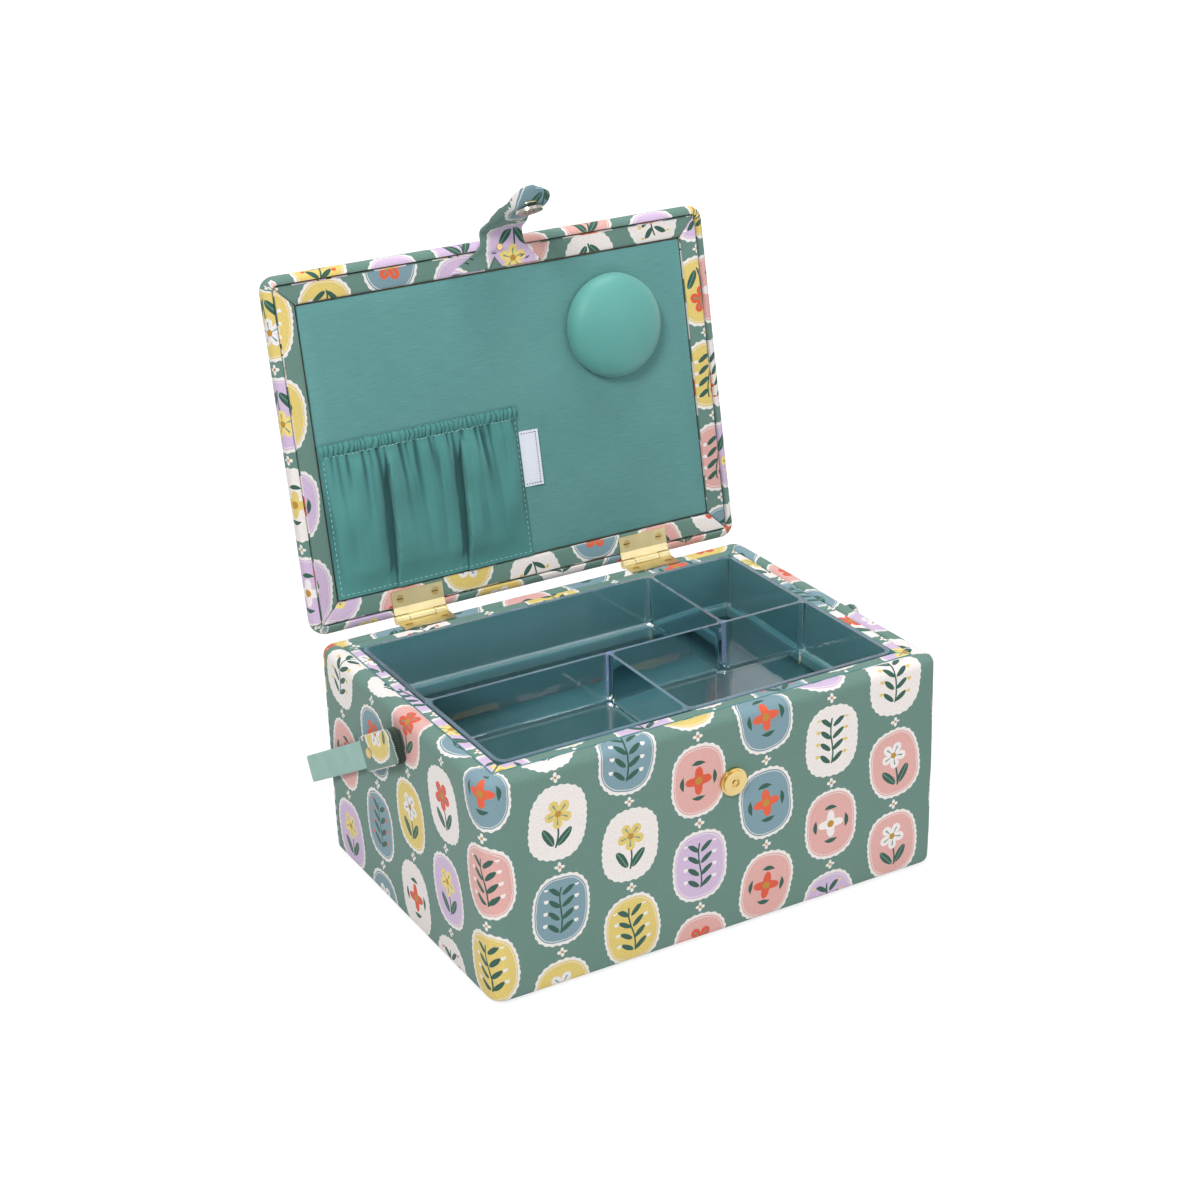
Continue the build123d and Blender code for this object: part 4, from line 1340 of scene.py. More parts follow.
@dataclass
class LidPocket(SubAssembly):
    """Pleated pocket with a gathered elastic header, pale stitching and a bare woven label."""

    body: str = "lid"
    left: float = -113.6
    right: float = 1.5
    foot: float = 17.6
    seam: float = 93.6
    head: float = 100.0
    face: float = 123.3
    pin_y: float = 95.0
    pleats: tuple[Uv, ...] = ((-78.5, -77.0), (-36.5, -34.0))
    ruffles: int = 43
    ply: float = 0.3
    label_ply: float = 0.25
    label_gap: float = 0.2
    label_wide: float = 11.1
    label_foot: float = 55.0
    label_tall: float = 30.5
    thread_width: float = 0.42

    def shape(self, u: float, v: float) -> Uv:
        """Height of the pocket's cloth above the panel, and how far a pleat folds over to the left.

        Args:
            u: Place across the pocket.
            v: Distance from the hinge axis up the lid.

        Returns:
            Height and sideways shift in millimetres.
        """
        t = (v - self.foot) / (self.seam - self.foot)
        held = ease(u, self.left, self.left + 9) * (1 - ease(u, self.right - 8, self.right))
        floor = ease(v, self.foot + 1.2, self.foot + 14)
        height = 0.45 + 3.0 * held * floor * (0.45 + 0.55 * math.sin(math.pi * min(1.0, max(0.0, t)) ** 1.2))
        shift = 0.0
        for foot_u, top_u in self.pleats:
            side = u - (foot_u + (top_u - foot_u) * t + 1.6 * math.sin(t * 3.4 - 0.3))
            deep = (0.35 + 0.65 * ease(t, 0.0, 0.4)) * (1 - ease(t, 0.66, 1.0))
            if side < 0:
                height -= 4.2 * deep * ease(side, -13.0, -0.4) ** 1.4
            else:
                height += 3.4 * deep * math.exp(-side / 11.0) * ease(side, -0.2, 0.9)
            shift -= 2.2 * deep * math.exp(-abs(side) / 2.0) * ease(side, -0.6, 0.6)
        # Gathers under the header: sharp small valleys between rounded ridges
        fold = 1 - 2.2 * abs(noise.noise(Vector((u / 4.4, t * 1.1, 2.0))))
        broad = 1 - 2.0 * abs(noise.noise(Vector((u / 10.5 + t * 0.45, t * 0.8, 7.0))))
        drape = noise.noise(Vector((u / 17.0, v / 24.0, 11.0)))
        near = math.exp(-(1 - t) / 0.17)
        wide = math.exp(-(1 - t) / 0.38) * (1 - 0.4 * near)
        height += held * (2.8 * (fold - 0.6) * near + 4.2 * (broad - 0.55) * wide * ease(t, 0.05, 0.35)
                          + 1.8 * drape * floor)
        # The shut lid leaves less room near the header, where the tray's rib passes
        limit = 7.0 - 4.0 * ease(t, 0.80, 0.98)
        eased = limit - math.log1p(math.exp((limit - height) * 2.0)) / 2.0
        return max(0.35, eased), shift

    def lift(self, u: float, v: float) -> float:
        """Height of the pocket's cloth above the panel."""
        return self.shape(u, v)[0]

    def fallen(self, u: float, v: float) -> Point:
        """Point of the pocket's cloth on the shut lid, pleats folded over."""
        height, shift = self.shape(u, v)
        return self.on_lid(u + shift, v, height)

    def gather(self, u: float, v: float) -> float:
        """Height of the header, which the elastic draws into small ruffles.

        Args:
            u: Place across the pocket.
            v: Distance from the hinge axis up the lid.

        Returns:
            Height above the panel in millimetres.
        """
        t = (v - self.seam) / (self.head - self.seam)
        pitch = (self.right - self.left) / self.ruffles
        phase = (u - self.left) / pitch + 0.8 * noise.noise(Vector((u / 7.0, t * 0.9, 5.0)))
        uneven = 0.75 + 0.6 * noise.noise(Vector((u / 3.1, 1.5, 9.0)))
        ridge = abs(math.sin(math.pi * phase)) ** 0.6 * uneven
        casing = math.sin(math.pi * min(0.94, max(0.06, t))) ** 0.5
        return 0.35 + 0.8 * casing + 1.8 * ridge * (0.45 + 0.55 * casing)

    def crown(self, u: float, v: float) -> float:
        """Distance up the lid of a header point, its top edge drawn up unevenly by the elastic.

        Args:
            u: Place across the pocket.
            v: Distance up the lid of the same point on even cloth.

        Returns:
            Distance in millimetres.
        """
        pitch = (self.right - self.left) / self.ruffles
        top = ease(v, self.seam + 2.0, self.head)
        uneven = 0.9 * noise.noise(Vector((u / 2.3, 6.0, 1.0)))
        return v + top * (uneven - 0.4 * abs(math.cos(math.pi * u / pitch)))

    def on_lid(self, u: float, v: float, height: float) -> Point:
        """Point on the shut lid for a place on the pocket."""
        return (u, self.pin_y - v, self.face - height)

    def cloth(self) -> None:
        """Builds the pocket's body as one sheet of pleated and gathered cloth."""
        columns = steps(self.left, self.right, 0.62)
        rows = steps(self.foot, self.seam, 0.85)
        obj = cloth_grid("lid_pocket_cloth", columns, rows, self.fallen, lambda u, v: (u, v))
        self.shade_creases(obj, columns, rows, self.lift, 5.0)
        thicken(obj, self.ply)
        self.add(open_out(obj), POCKET_CLOTH, ["lid_pocket"], "pocket_cloth")
        header = self.header()

    def shade_creases(self, obj: bpy.types.Object, columns: Sequence[float], rows: Sequence[float],
                      height: Callable[[float, float], float], reach: float) -> None:
        """Records how far each point lies below the cloth on both sides of it, for the painted shade in the
        folds.

        Args:
            obj: Sheet made over the columns and rows.
            columns: Places across the pocket.
            rows: Places up the pocket.
            height: Height of the cloth at a place.
            reach: How far to each side the cloth is compared.
        """
        def around(u: float, v: float, away: float) -> float:
            """Mean height of the cloth at a distance on both sides."""
            return 0.5 * (height(max(self.left, u - away), v) + height(min(self.right, u + away), v))

        values = []
        for v in rows:
            for u in columns:
                here = height(u, v)
                deep = 0.35 * (around(u, v, reach) - here) + 0.8 * (around(u, v, reach / 3) - here)
                values.append(min(1.0, max(0.0, deep)))
        layer = obj.data.attributes.new("crease", "FLOAT", "POINT")
        layer.data.foreach_set("value", values)

    def header(self) -> bpy.types.Object:
        """Builds the gathered header over its elastic.

        Returns:
            The header.
        """
        columns = steps(self.left, self.right, 0.42)
        rows = steps(self.seam, self.head, 0.65)
        obj = cloth_grid("pocket_header_cloth", columns, rows,
                         lambda u, v: self.on_lid(u, self.crown(u, v), self.gather(u, v)),
                         lambda u, v: (u * 1.5, v))
        self.shade_creases(obj, columns, rows, self.gather, 1.3)
        thicken(obj, self.ply)
        return self.add(open_out(obj), POCKET_CLOTH, ["pocket_elastic"], "pocket_cloth")

    def stitching(self) -> None:
        """Adds the pale running stitch under the header, up both sides and along the foot."""
        places = []
        for u in steps(self.left + 1.5, self.right - 1.0, 2.1):
            height = max(self.lift(u, self.seam), 1.0) + 0.15
            places.append((self.on_lid(u, self.seam - 0.2, height), (1, 0, 0), LID_DOWN))
        for u in steps(self.left + 2.5, self.right - 1.5, 3.0):
            v = self.foot + 1.9
            places.append((self.on_lid(u, v, self.lift(u, v) + 0.2), (1, 0.03, 0), LID_DOWN))
        for v in steps(self.foot + 3.0, self.seam - 3.0, 3.0):
            for u, raised in ((self.left + 1.9, 0.2), (self.right - 1.2, 0.12)):
                places.append((self.on_lid(u, v, self.lift(u, v) + raised), (0.03, 1, 0), LID_DOWN))
        obj = thread_row("pocket_stitching", places, 1.9, self.thread_width)
        self.add(open_out(obj), PALE_THREAD, (), "pocket_cloth")

    def label(self) -> None:
        """Builds the bare satin label with its stitched border."""
        near, low = self.right + self.label_gap, self.label_foot
        far, high = near + self.label_wide, low + self.label_tall
        raised, pitch = 0.16, 1.35

        def height(u: float) -> float:
            """Rises a little from the seam to its loose side."""
            return 0.3 + 0.9 * ease(u, near, far) + 0.1 * math.sin(u)

        obj = cloth_grid("woven_label", steps(near, far, 1.0), steps(low, high, 1.5),
                         lambda u, v: self.on_lid(u, v, height(u)), lambda u, v: (u, v))
        thicken(obj, self.label_ply)
        self.add(open_out(obj), LABEL_SATIN, ["blank_label"], "label_satin")
        side = far - 1.6
        places = [(self.on_lid(side, v, height(side) + raised), (0, 1, 0), LID_DOWN)
                  for v in steps(low + 1.6, high - 1.6, pitch)]
        places += [(self.on_lid(u, v, height(u) + raised), (1, 0, 0), LID_DOWN)
                   for u in steps(near + 1.5, far - 2.2, pitch) for v in (low + 1.4, high - 1.4)]
        obj = thread_row("label_stitching", places, 0.9, self.thread_width)
        self.add(open_out(obj), DARK_THREAD, (), "label_satin")

    def build(self) -> None:
        """Builds the pocket and its label."""
        self.cloth()
        self.stitching()
        self.label()


@dataclass
class PinCushion(SubAssembly):
    """Stuffed satin dome, drawn in at its rim."""

    body: str = "lid"
    x: float = 65.5
    y: float = -38.0
    radius: float = 28.3
    height: float = 16.0
    face: float = 123.5
    waist: float = 2.6
    under: float = 114.0
    rings: int = 46
    turns: int = 180
    puckers: int = 15
    sharp_edge: float = 75.0

    def build(self) -> None:
        """Builds the dome, widest just above the panel and puckered where it is sewn down."""
        points: list[Point] = [(self.x, self.y, self.face - self.height)]
        for ring in range(1, self.rings + 1):
            t = ring / self.rings
            angle = math.radians(self.under * t)
            over = max(0.0, t * self.under - 90.0) / (self.under - 90.0)
            share = math.sin(angle)
            level = self.waist + (self.height - self.waist) * max(0.0, math.cos(angle)) ** 0.82
            if over > 0:
                level = self.waist * (1 - over) ** 0.9
            for n in range(self.turns):
                a = 2 * math.pi * n / self.turns
                bend = noise.noise(Vector((math.cos(a), math.sin(a), 0.0)) * 2.0)
                drawn = 0.7 * abs(math.sin(a * self.puckers + 2.5 * bend)) * ease(t, 0.72, 1.0)
                r = (self.radius - 0.2 * bend) * share - drawn * 0.8
                spot = Vector((r * math.cos(a), r * math.sin(a), 0.0))
                lump = ripple(spot + Vector((0, 0, 30.0)), 0.5, 19.0) * (1 - t)
                points.append((self.x + spot.x, self.y + spot.y, self.face - max(0.0, level + lump) + 0.02))
        faces: list[tuple[int, ...]] = [(0, 1 + (n + 1) % self.turns, 1 + n) for n in range(self.turns)]
        for ring in range(self.rings - 1):
            a0, b0 = 1 + ring * self.turns, 1 + (ring + 1) * self.turns
            for n in range(self.turns):
                m = (n + 1) % self.turns
                faces.append((a0 + n, a0 + m, b0 + m, b0 + n))
        faces.append(tuple(1 + (self.rings - 1) * self.turns + n for n in range(self.turns)))
        uvs = [tuple((points[i][0], points[i][1]) for i in face) for face in faces]
        obj = mesh_piece("pin_cushion_dome", points, faces, uvs)
        face_outwards(obj)
        smooth(obj, self.sharp_edge)
        self.add(open_out(obj), SATIN, ["pin_cushion"], "cushion_satin")


@dataclass
class ClosureStrap(SubAssembly):
    """Snap strap: a winged root sewn on the frame, a neck over the lid's edge and a curling tail."""

    body: str = "lid"
    x: float = 5.0
    neck: float = 12.5
    flare: float = 27.0
    flare_y: float = -79.5
    notch: float = 4.0
    notch_depth: float = 6.0
    snap_z: float = 84.4
    tail_end: float = 71.9
    axis_y: float = -99.9
    axis_z: float = 120.9
    lean: float = 18.0
    root_z: float = 122.35
    root_ply: float = 1.0
    tail_ply: float = 1.9
    # Where the strap leaves the frame and bends down over the lid's edge
    bend_y: float = -96.6
    bend_z: float = 121.4
    # Radius to which the tail's left and right edges roll
    rolls: Uv = (3.2, 5.0)
    curl: float = 7.5
    columns: int = 41

    def centre_line(self) -> list[tuple[float, float, float]]:
        """Side view of the strap from root to tip, as (y, z, thickness) on the shut lid.

        Returns:
            The points, with the bend at the lid's edge rounded.
        """
        line_points = [(y, self.root_z - 0.95 * ease(-y, 86.5, 90.0), self.root_ply)
                       for y in steps(self.flare_y, self.bend_y, 0.9)]
        lean = math.radians(self.lean)
        down = Vector((-math.sin(lean), -math.cos(lean)))
        start, hub = Vector((self.bend_y, self.bend_z)), Vector((self.axis_y, self.axis_z))
        after = hub + down * 4.0
        knee = Vector((self.axis_y + 0.2, self.bend_z))
        for i in range(1, 9):
            t = i / 8
            spot = start * (1 - t) ** 2 + knee * 2 * t * (1 - t) + after * t * t
            line_points.append((spot.x, spot.y, self.root_ply + (self.tail_ply - self.root_ply) * t))
        for run in steps(4.9, self.axis_z - self.tail_end, 0.9):
            spot = hub + down * run
            line_points.append((spot.x, spot.y, self.tail_ply))
        return line_points

    def cloth(self) -> None:
        """Builds the strap as one doubled cloth that bends between the lid and the tail."""
        line_points = self.centre_line()
        runs = profile_runs([(y, z) for y, z, _ in line_points])
        hub_run = next(r for r, (_, z, _) in zip(runs, line_points) if z < self.axis_z - 3.0)
        snap_run = hub_run - 3.9 + (self.axis_z - self.snap_z)
        wide = self.columns
        points: list[Point] = []
        plies: list[float] = []
        for index, (run, (y, z, thick)) in enumerate(zip(runs, line_points)):
            root = ease(-y, -self.flare_y, 94.0) if run < hub_run else 1.0
            narrow = root ** 0.62
            left = -self.flare + (self.x - self.neck + self.flare) * narrow
            right = self.flare + (self.x + self.neck - self.flare) * narrow
            ahead = min(1.0, max(0.0, (run - snap_run) / (runs[-1] - snap_run)))
            half = math.sqrt(max(0.0012, 1 - ahead * ahead))
            y1, z1, _ = line_points[max(0, index - 1)]
            y2, z2, _ = line_points[min(len(runs) - 1, index + 1)]
            slope = Vector((0.0, y2 - y1, z2 - z1)).normalized()
            # Away from the lid's face: down on the shut lid, outwards on the hanging tail
            away = Vector((0.0, slope.z, -slope.y))
            tail = ease(run, hub_run, hub_run + 12.0)
            waved = ease(run, hub_run, hub_run + 8) * (1 - ease(run, snap_run - 12, snap_run - 7))
            for c in range(wide):
                a = -1 + 2 * c / (wide - 1)
                x = (left + right) / 2 + (right - left) / 2 * a * half
                shift_y = 0.0
                if y > self.flare_y - self.notch_depth - 3 and run < hub_run:
                    share = max(0.0, 1 - abs(x) / self.notch)
                    shift_y = -self.notch_depth * share * (1 - ease(-y, -self.flare_y, 90.0))
                crease = 0.22 * math.sin(a * 9.0 + 1.0) * ease(root, 0.2, 0.9) * (1 - tail)
                # The tail's edges roll outwards in a small arc, the left one further, and its end curls up
                past = max(0.0, abs(a) - 0.55) * self.neck * half
                radius = self.rolls[a >= 0]
                roll = radius * (1 - math.cos(past / radius)) * tail
                x -= math.copysign(past - radius * math.sin(past / radius), a) * tail
                wave = 0.8 * math.sin((run - hub_run) / 6.0) * a * waved
                curl = self.curl * ahead ** 1.6 - ahead * a
                side = crease + wave + roll + curl
                points.append((x, y + shift_y + away.y * side, z + away.z * side))
                plies.append(thick / 2.0)
        faces = grid_faces(len(runs), wide)
        uvs = [tuple((points[n][0] + 8.0, 31.0 - runs[n // wide]) for n in face) for face in faces]
        obj = mesh_piece("closure_strap_cloth", points, faces, uvs)
        group = obj.vertex_groups.new(name="ply")
        for index, weight in enumerate(plies):
            group.add([index], weight, "REPLACE")
        apply_modifier(obj, "SOLIDIFY", thickness=self.tail_ply * MM, offset=0.0, vertex_group="ply")
        obj.vertex_groups.clear()
        ease_edges(obj, 0.35, 2, SOFT_EDGE)
        smooth(obj, SOFT_EDGE)
        open_out(obj)
        obj.data.materials.append(PRINT.material())
        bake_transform(obj)
        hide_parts("strap_root", "strap_tongue")
        log.info("%s: %d faces", obj.name, len(obj.data.polygons))

    def stitches(self) -> None:
        """Adds the few dark bar stitches that hold the wings."""
        bars = ((-16.5, -84.2, 0.5), (-13.6, -86.0, 0.4), (16.2, -83.6, -0.5), (19.0, -82.2, -0.4),
                (0.0, -87.0, 0.0))
        places = [((x, y, 121.75), (1.0, slant, 0.0), LID_DOWN) for x, y, slant in bars]
        obj = thread_row("strap_bar_stitches", places, 3.2, 0.5)
        self.add(open_out(obj), DARK_THREAD, (), "strap_cloth")

    def build(self) -> None:
        """Builds the strap and dresses its snap and rivet."""
        self.cloth()
        self.stitches()
        dress(["strap_root_rivet"], SCREW_BRASS)
        dress(["strap_snap_cap"], SNAP_BRASS)
        dress(["strap_snap_socket"], SNAP_STEEL)


@dataclass
class CarryHandle(SubAssembly):
    """Coated strap bent into a loop, held at each side by a folded fabric tab and a rivet."""

    inner: float = 131.45
    outer: float = 133.85
    half_width: float = 7.3
    start: float = 18.7
    reach: float = 151.5
    bend: float = 25.0
    tab_inner: float = 130.3
    tab_outer: float = 135.0
    ply: float = 1.0
    tab_front: float = -7.0
    tab_back: float = 41.4
    tab_half: float = 9.0
    tab_corner: float = 4.5
    # Length of the doubled lip before the fold, and how far it stands out on the left and the right
    lip: float = 1.8
    stands: Uv = (2.2, 5.5)
    thread_width: float = 0.7
    pivot_y: float = -4.0
    pivot_z: float = 103.0
    droop: float = 28.8
    sharp_edge: float = 45.0

    def lowered(self, obj: bpy.types.Object) -> bpy.types.Object:
        """Turns a piece drawn level to where the handle hangs at rest.

        Args:
            obj: The piece.

        Returns:
            The same piece.
        """
        turn = Matrix.Rotation(math.radians(-self.droop), 4, "X")
        obj.data.transform(Matrix.Translation((0.0, self.pivot_y * MM, self.pivot_z * MM)) @ turn)
        return obj

    def strap(self) -> None:
        """Lofts the strap's rounded section along its loop."""
        middle, half = (self.inner + self.outer) / 2, (self.outer - self.inner) / 2
        turn = self.bend - half
        corner_x, corner_s = middle - turn, self.reach - half - turn
        # Each place on the loop goes with its direction outwards
        path = [(middle, s, 1.0, 0.0) for s in steps(self.start, corner_s, 6.0)[:-1]]
        for i in range(17):
            a = math.pi / 2 * i / 16
            across, back = math.cos(a), math.sin(a)
            path.append((corner_x + turn * across, corner_s + turn * back, across, back))
        path += [(x, corner_s + turn, 0.0, 1.0) for x in steps(corner_x, 0.0, 9.0)[1:]]
        path += [(-x, s, -nx, ns) for x, s, nx, ns in reversed(path[:-1])]
        top = self.half_width
        section = [(half * 0.55, top), (half * 0.9, top - 0.3), (half, top - 0.9),
                   (half + 0.05, top * 0.5), (half + 0.08, 0.0)]
        section += [(h, -w) for h, w in reversed(section[:-1])]
        section += [(-h if abs(w) > 6 else -half, w) for h, w in reversed(section)]
        points = [(x + nx * h, s + ns * h, w) for x, s, nx, ns in path for h, w in section]
        wide = len(section)
        faces: list[tuple[int, ...]] = []
        for r in range(len(path) - 1):
            for c in range(wide):
                d = (c + 1) % wide
                faces.append((r * wide + c, r * wide + d, (r + 1) * wide + d, (r + 1) * wide + c))
        faces.append(tuple(range(wide)))
        faces.append(tuple((len(path) - 1) * wide + c for c in range(wide)))
        obj = mesh_piece("handle_strap_coated", points, faces)
        face_outwards(obj)
        smooth(obj, self.sharp_edge)
        self.add(self.lowered(obj), MINT_STRAP, ["handle_strap"], "handle_strap", "handle")

    def tab(self, sign: int) -> None:
        """Folds one fabric tab round the strap's end.

        Args:
            sign: 1 for the right tab and -1 for the left one.
        """
        side = "right" if sign > 0 else "left"
        stand = self.stands[sign > 0]
        near, far = self.tab_inner + self.ply / 2, self.tab_outer - self.ply / 2
        radius = (far - self.ply - near) / 2
        hub = self.tab_front + self.lip + self.ply / 2 + radius
        path: list[Uv] = [(near, s) for s in steps(self.tab_back, hub, 2.2)[:-1]]
        fold_start = len(path)
        path += [(near + radius - radius * math.cos(a), hub - radius * math.sin(a))
                 for a in (math.pi * i / 10 for i in range(11))]
        fold_end = len(path) - 1
        # In front of the fold the outer ply stands out as a doubled lip with a hollow behind it, in shadow,
        # which on the left tab also takes painted shade
        path += [(far - self.ply, s) for s in steps(hub, self.tab_front + self.ply / 2, 1.0)[1:]]
        edge = len(path)
        path += [(far - self.ply / 2, self.tab_front)]
        path += [(far, s) for s in steps(self.tab_front + self.ply / 2, self.tab_back, 2.2)]
        runs = profile_runs(path)

        def place(w: float, run: float) -> Point:
            """Point of the folded cloth, with rounded front corners and a slight curl.

            Args:
                w: Place across the tab.
                run: Distance along the cloth.

            Returns:
                The point, as drawn level.
            """
            index = max(i for i, r in enumerate(runs) if r <= run + 1e-6)
            x, s = path[index]
            over = max(0.0, abs(w) - (self.tab_half - self.tab_corner))
            cut = self.tab_corner - math.sqrt(max(0.0, self.tab_corner ** 2 - over ** 2))
            s += cut * (1 - ease(s, self.tab_front, self.tab_front + 14.0))
            front = 1 - ease(s, hub - 2.0, hub + 13.0)
            outside = ease(run, runs[fold_start], runs[fold_end])
            curl = 0.5 * noise.noise(Vector((w / 5.0, sign * 3.0, 0.0)))
            x += outside * front * (stand * (1 + 0.02 * w) + curl)
            x += outside * 0.12 * noise.noise(Vector((w / 4.0, s / 5.0, 4.0)))
            return (sign * x, s, w)

        obj = cloth_grid(f"handle_tab_cloth_{side}", steps(-self.tab_half, self.tab_half, 1.0), runs, place,
                         lambda w, run: (w + 29.5 * sign, run + 20.0))
        for finish in (PRINT, HOLLOW_SHADE):
            obj.data.materials.append(finish.material())
        across = len(obj.data.polygons) // (len(runs) - 1)
        for face in obj.data.polygons:
            # The left fold's hollow takes the painted shade, and the right one shows its printed side
            face.material_index = int(sign < 0 and fold_start <= face.index // across < edge)
        apply_modifier(obj, "SOLIDIFY", thickness=self.ply * MM * 0.9, offset=0.0)
        ease_edges(obj, 0.25, 2, SOFT_EDGE)
        smooth(obj, SOFT_EDGE)
        body = f"tab_{side}"
        self.add(self.lowered(obj), PRINT, [f"handle_tab_{side}"], "tab_cloth", body, HOLLOW_SHADE)
        # Loose threads stand out from the lip and from both sides of the outer ply
        places = []
        for i in range(15):
            w = -self.tab_half + 1.0 + 1.15 * i
            lean = 0.5 * noise.noise(Vector((w, sign * 2.0, 1.0)))
            x, s, _ = place(w, runs[edge])
            places.append(((x + sign * 0.3, s - 0.4, w), (sign * 0.3, -1.0, lean), (sign, 0.3, 0)))
        for i in range(33):
            run = runs[edge] + 1.0 + 1.4 * i
            lean = 0.3 + 0.5 * noise.noise(Vector((run, sign * 2.0, 3.0)))
            for flank in (-1, 1):
                x, s, w = place(flank * self.tab_half, min(run, runs[-1]))
                spot = (x + sign * 0.2, s, w - flank * 0.1)
                places.append((spot, (0.1 * sign, 0.9, flank * lean), (sign, 0, 0)))
        obj = thread_row(f"handle_tab_threads_{side}", places, 1.9, self.thread_width)
        self.add(self.lowered(obj), WHITE_THREAD, (), "tab_cloth", body)

    def build(self) -> None:
        """Builds the strap and both tabs, and dresses the rivets and studs."""
        self.strap()
        for sign in (-1, 1):
            self.tab(sign)
        dress(["handle_rivet_left", "handle_rivet_right", "wall_stud_left", "wall_stud_right"], SCREW_BRASS)


@dataclass
class Fittings(SubAssembly):
    """Metal and plastic parts that keep their solids: hinges, wall snap and tray."""

    def build(self) -> None:
        """Dresses the hinges, their screws and pins, the snap on the wall and the tray."""
        sides = ("left", "right")
        dress([f"{leaf}_hinge_leaf_{side}" for leaf in ("base", "lid") for side in sides], LEAF_BRASS)
        screws = {"base_hinge_screws": Vector((0.0, 0.0, 1.0)),
                  "lid_hinge_screws": OPENED.to_3x3() @ Vector(LID_DOWN)}
        dress([*screws] + [f"hinge_pin_{side}" for side in sides], SCREW_BRASS)
        for node, facing in screws.items():
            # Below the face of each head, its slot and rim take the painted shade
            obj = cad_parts[node]
            obj.data.materials.append(RECESS_SHADE_BRASS.material())
            level = max(vertex.co.dot(facing) for vertex in obj.data.vertices)
            for face in obj.data.polygons:
                face.material_index = int(face.center.dot(facing) < level - 0.1 * MM)
        dress(["wall_snap_ring", "wall_snap_post", "wall_snap_disc"], SNAP_BRASS)
        dress(["clear_tray"], STYRENE)


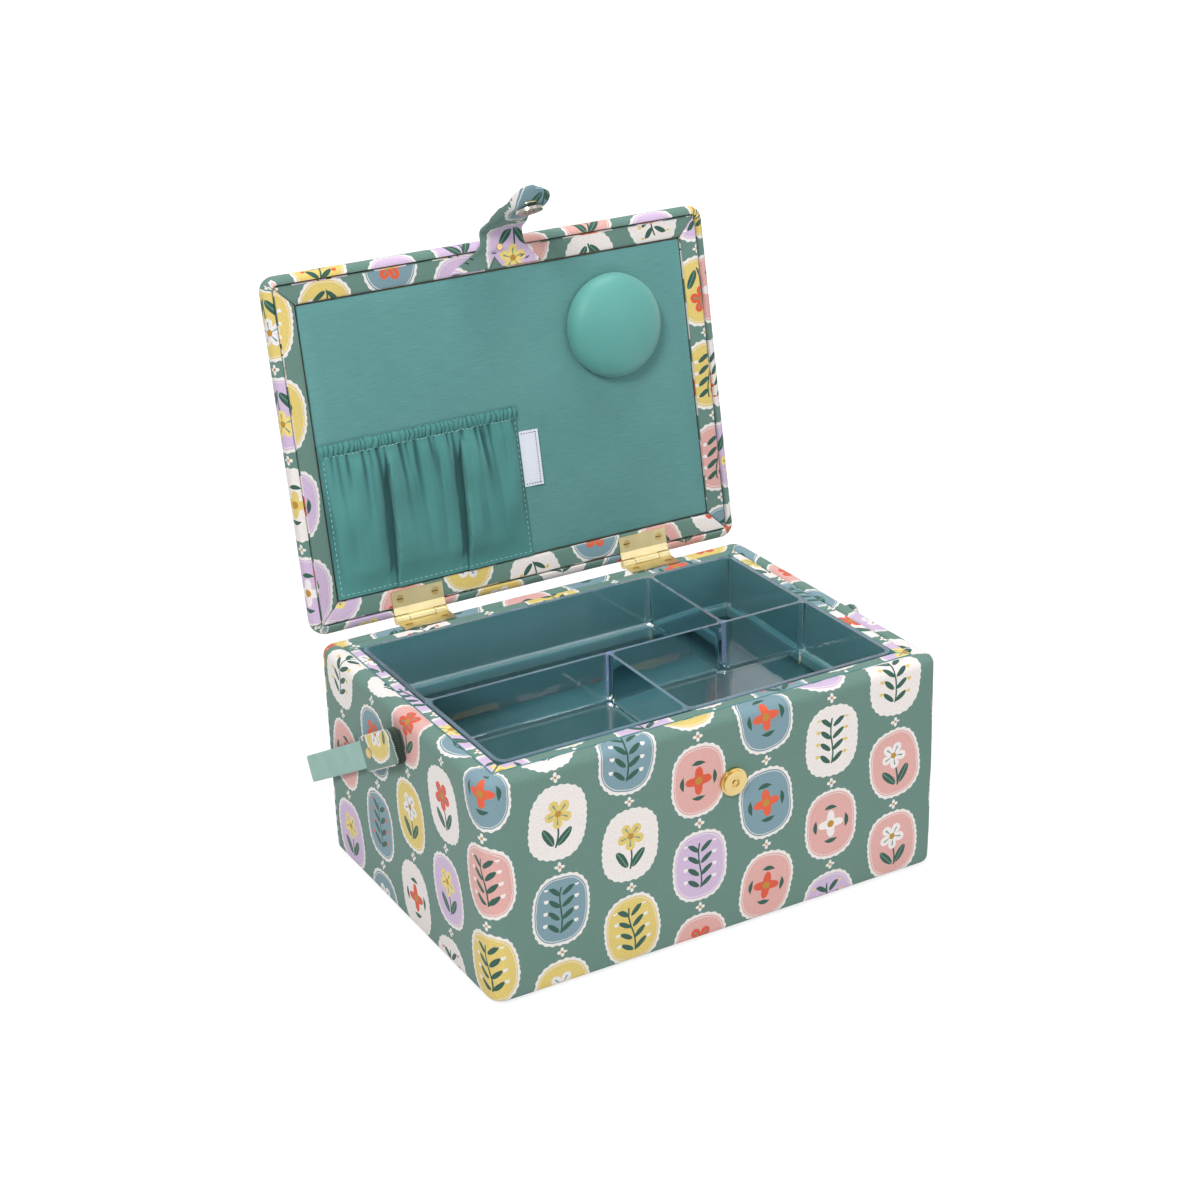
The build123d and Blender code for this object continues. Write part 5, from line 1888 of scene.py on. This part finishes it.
@dataclass
class Studio:
    """Plain pale floor and background, soft lamps and the camera."""

    white: str = "FFFFFF"
    paper: str = "E1E1E1"
    veil: str = "959595"
    aim: Point = (0.0, 0.02, 0.14)
    lens: float = 70.575
    eye: Point = (-0.5444, -0.9518, 0.6244)
    # The camera's directions to the right, up and back
    axes: tuple[Point, ...] = (
        (0.8672, -0.4972, -0.0271), (0.2199, 0.3335, 0.9167), (-0.4467, -0.8010, 0.3986))

    def seen(self, tree: Tree, mirrored: float) -> Socket:
        """How much of the plain white a ray meets: all of it from the camera and through the tray.

        Args:
            tree: Node tree of the floor or of the world.
            mirrored: Share of it that reflections meet.

        Returns:
            The share, from 0 to 1.
        """
        path = put(tree, "ShaderNodeLightPath").node
        glossy = {0: path.outputs["Is Glossy Ray"], 1: mirrored}
        share = put(tree, "ShaderNodeMath", glossy, operation="MULTIPLY")
        for ray in ("Is Camera Ray", "Is Transmission Ray"):
            either = {0: path.outputs[ray], 1: share}
            share = put(tree, "ShaderNodeMath", either, operation="MAXIMUM")
        return share

    def backdrop(self) -> None:
        """Makes the floor, which shows white to the camera but keeps the shadow."""
        bpy.ops.object.select_all(action="DESELECT")
        bpy.ops.mesh.primitive_plane_add(size=30.0, location=(0.0, 0.0, -0.0004))
        floor = bpy.context.object
        floor.name = "studio_floor"
        made = bpy.data.materials.new("white_paper_floor")
        made.use_nodes = True
        tree = made.node_tree
        tree.nodes.clear()
        paper = put(tree, "ShaderNodeBsdfDiffuse", {"Color": srgb(self.paper)})
        veil = put(tree, "ShaderNodeBsdfDiffuse", {"Color": srgb(self.veil)})
        # White paper all over: near the object the lamps give a part of the white, so that its shadow shows
        spot = put(tree, "ShaderNodeTexCoord", out="Object")
        away = put(tree, "ShaderNodeVectorMath", {0: spot}, out="Value", operation="LENGTH")
        level = put(tree, "ShaderNodeMapRange", {0: away, 1: 0.35, 2: 1.3, 3: 0.8, 4: 1.0})
        glow = put(tree, "ShaderNodeEmission", {"Color": srgb(self.white), "Strength": level})
        both = put(tree, "ShaderNodeAddShader", {0: veil, 1: glow})
        surface = put(tree, "ShaderNodeMixShader", {0: self.seen(tree, 1.0), 1: paper, 2: both})
        put(tree, "ShaderNodeOutputMaterial", {"Surface": surface})
        floor.data.materials.append(made)

    def sky(self) -> None:
        """Sets a soft even world that shows white behind the object."""
        world = bpy.data.worlds.new("studio_white")
        bpy.context.scene.world = world
        world.use_nodes = True
        tree = world.node_tree
        tree.nodes.clear()
        # Reflections see a dimmer room than the camera, so that brass and clear plastic keep their depth
        level = put(tree, "ShaderNodeMapRange", {0: self.seen(tree, 0.6), 3: 0.36, 4: 1.0})
        light = put(tree, "ShaderNodeBackground", {"Color": srgb(self.white), "Strength": level})
        put(tree, "ShaderNodeOutputWorld", {"Surface": light})

    def lamps(self) -> None:
        """Hangs three soft boxes: over the front, to the right and overhead."""
        for name, spot, size, watts in (("key_softbox", (-1.5, -1.3, 2.0), 0.7, 42.0),
                                        ("front_softbox", (0.9, -1.9, 1.0), 1.4, 9.0),
                                        ("top_softbox", (0.3, 0.2, 2.1), 1.1, 24.0)):
            data = bpy.data.lights.new(name, "AREA")
            data.size = size
            data.energy = watts
            lamp = bpy.data.objects.new(name, data)
            bpy.context.scene.collection.objects.link(lamp)
            lamp.location = spot
            lamp.rotation_euler = (Vector(self.aim) - Vector(spot)).to_track_quat("-Z", "Y").to_euler()

    def camera(self) -> None:
        """Puts the camera where the photograph was taken from."""
        data = bpy.data.cameras.new("photo_camera")
        data.sensor_width = 36.0
        data.lens = self.lens
        camera = bpy.data.objects.new("photo_camera", data)
        bpy.context.scene.collection.objects.link(camera)
        turn = Matrix(self.axes).transposed().to_quaternion().to_matrix()
        camera.matrix_world = Matrix.Translation(self.eye) @ turn.to_4x4()
        bpy.context.scene.camera = camera

    def build(self) -> None:
        """Sets up the floor, the light and the camera."""
        self.backdrop()
        self.sky()
        self.lamps()
        self.camera()
        bpy.context.scene.view_settings.view_transform = "Standard"


def main() -> None:
    """Builds the sewing box, piece by piece, and the studio round it."""
    logging.basicConfig(level=logging.INFO, format="%(name)s %(message)s")
    for assembly in (BaseBox, LidAssembly, LidPocket, PinCushion, ClosureStrap, CarryHandle, Fittings):
        log.info("building %s", assembly.__name__)
        assembly().build()
    Studio().build()


if __name__ == "__main__":
    main()
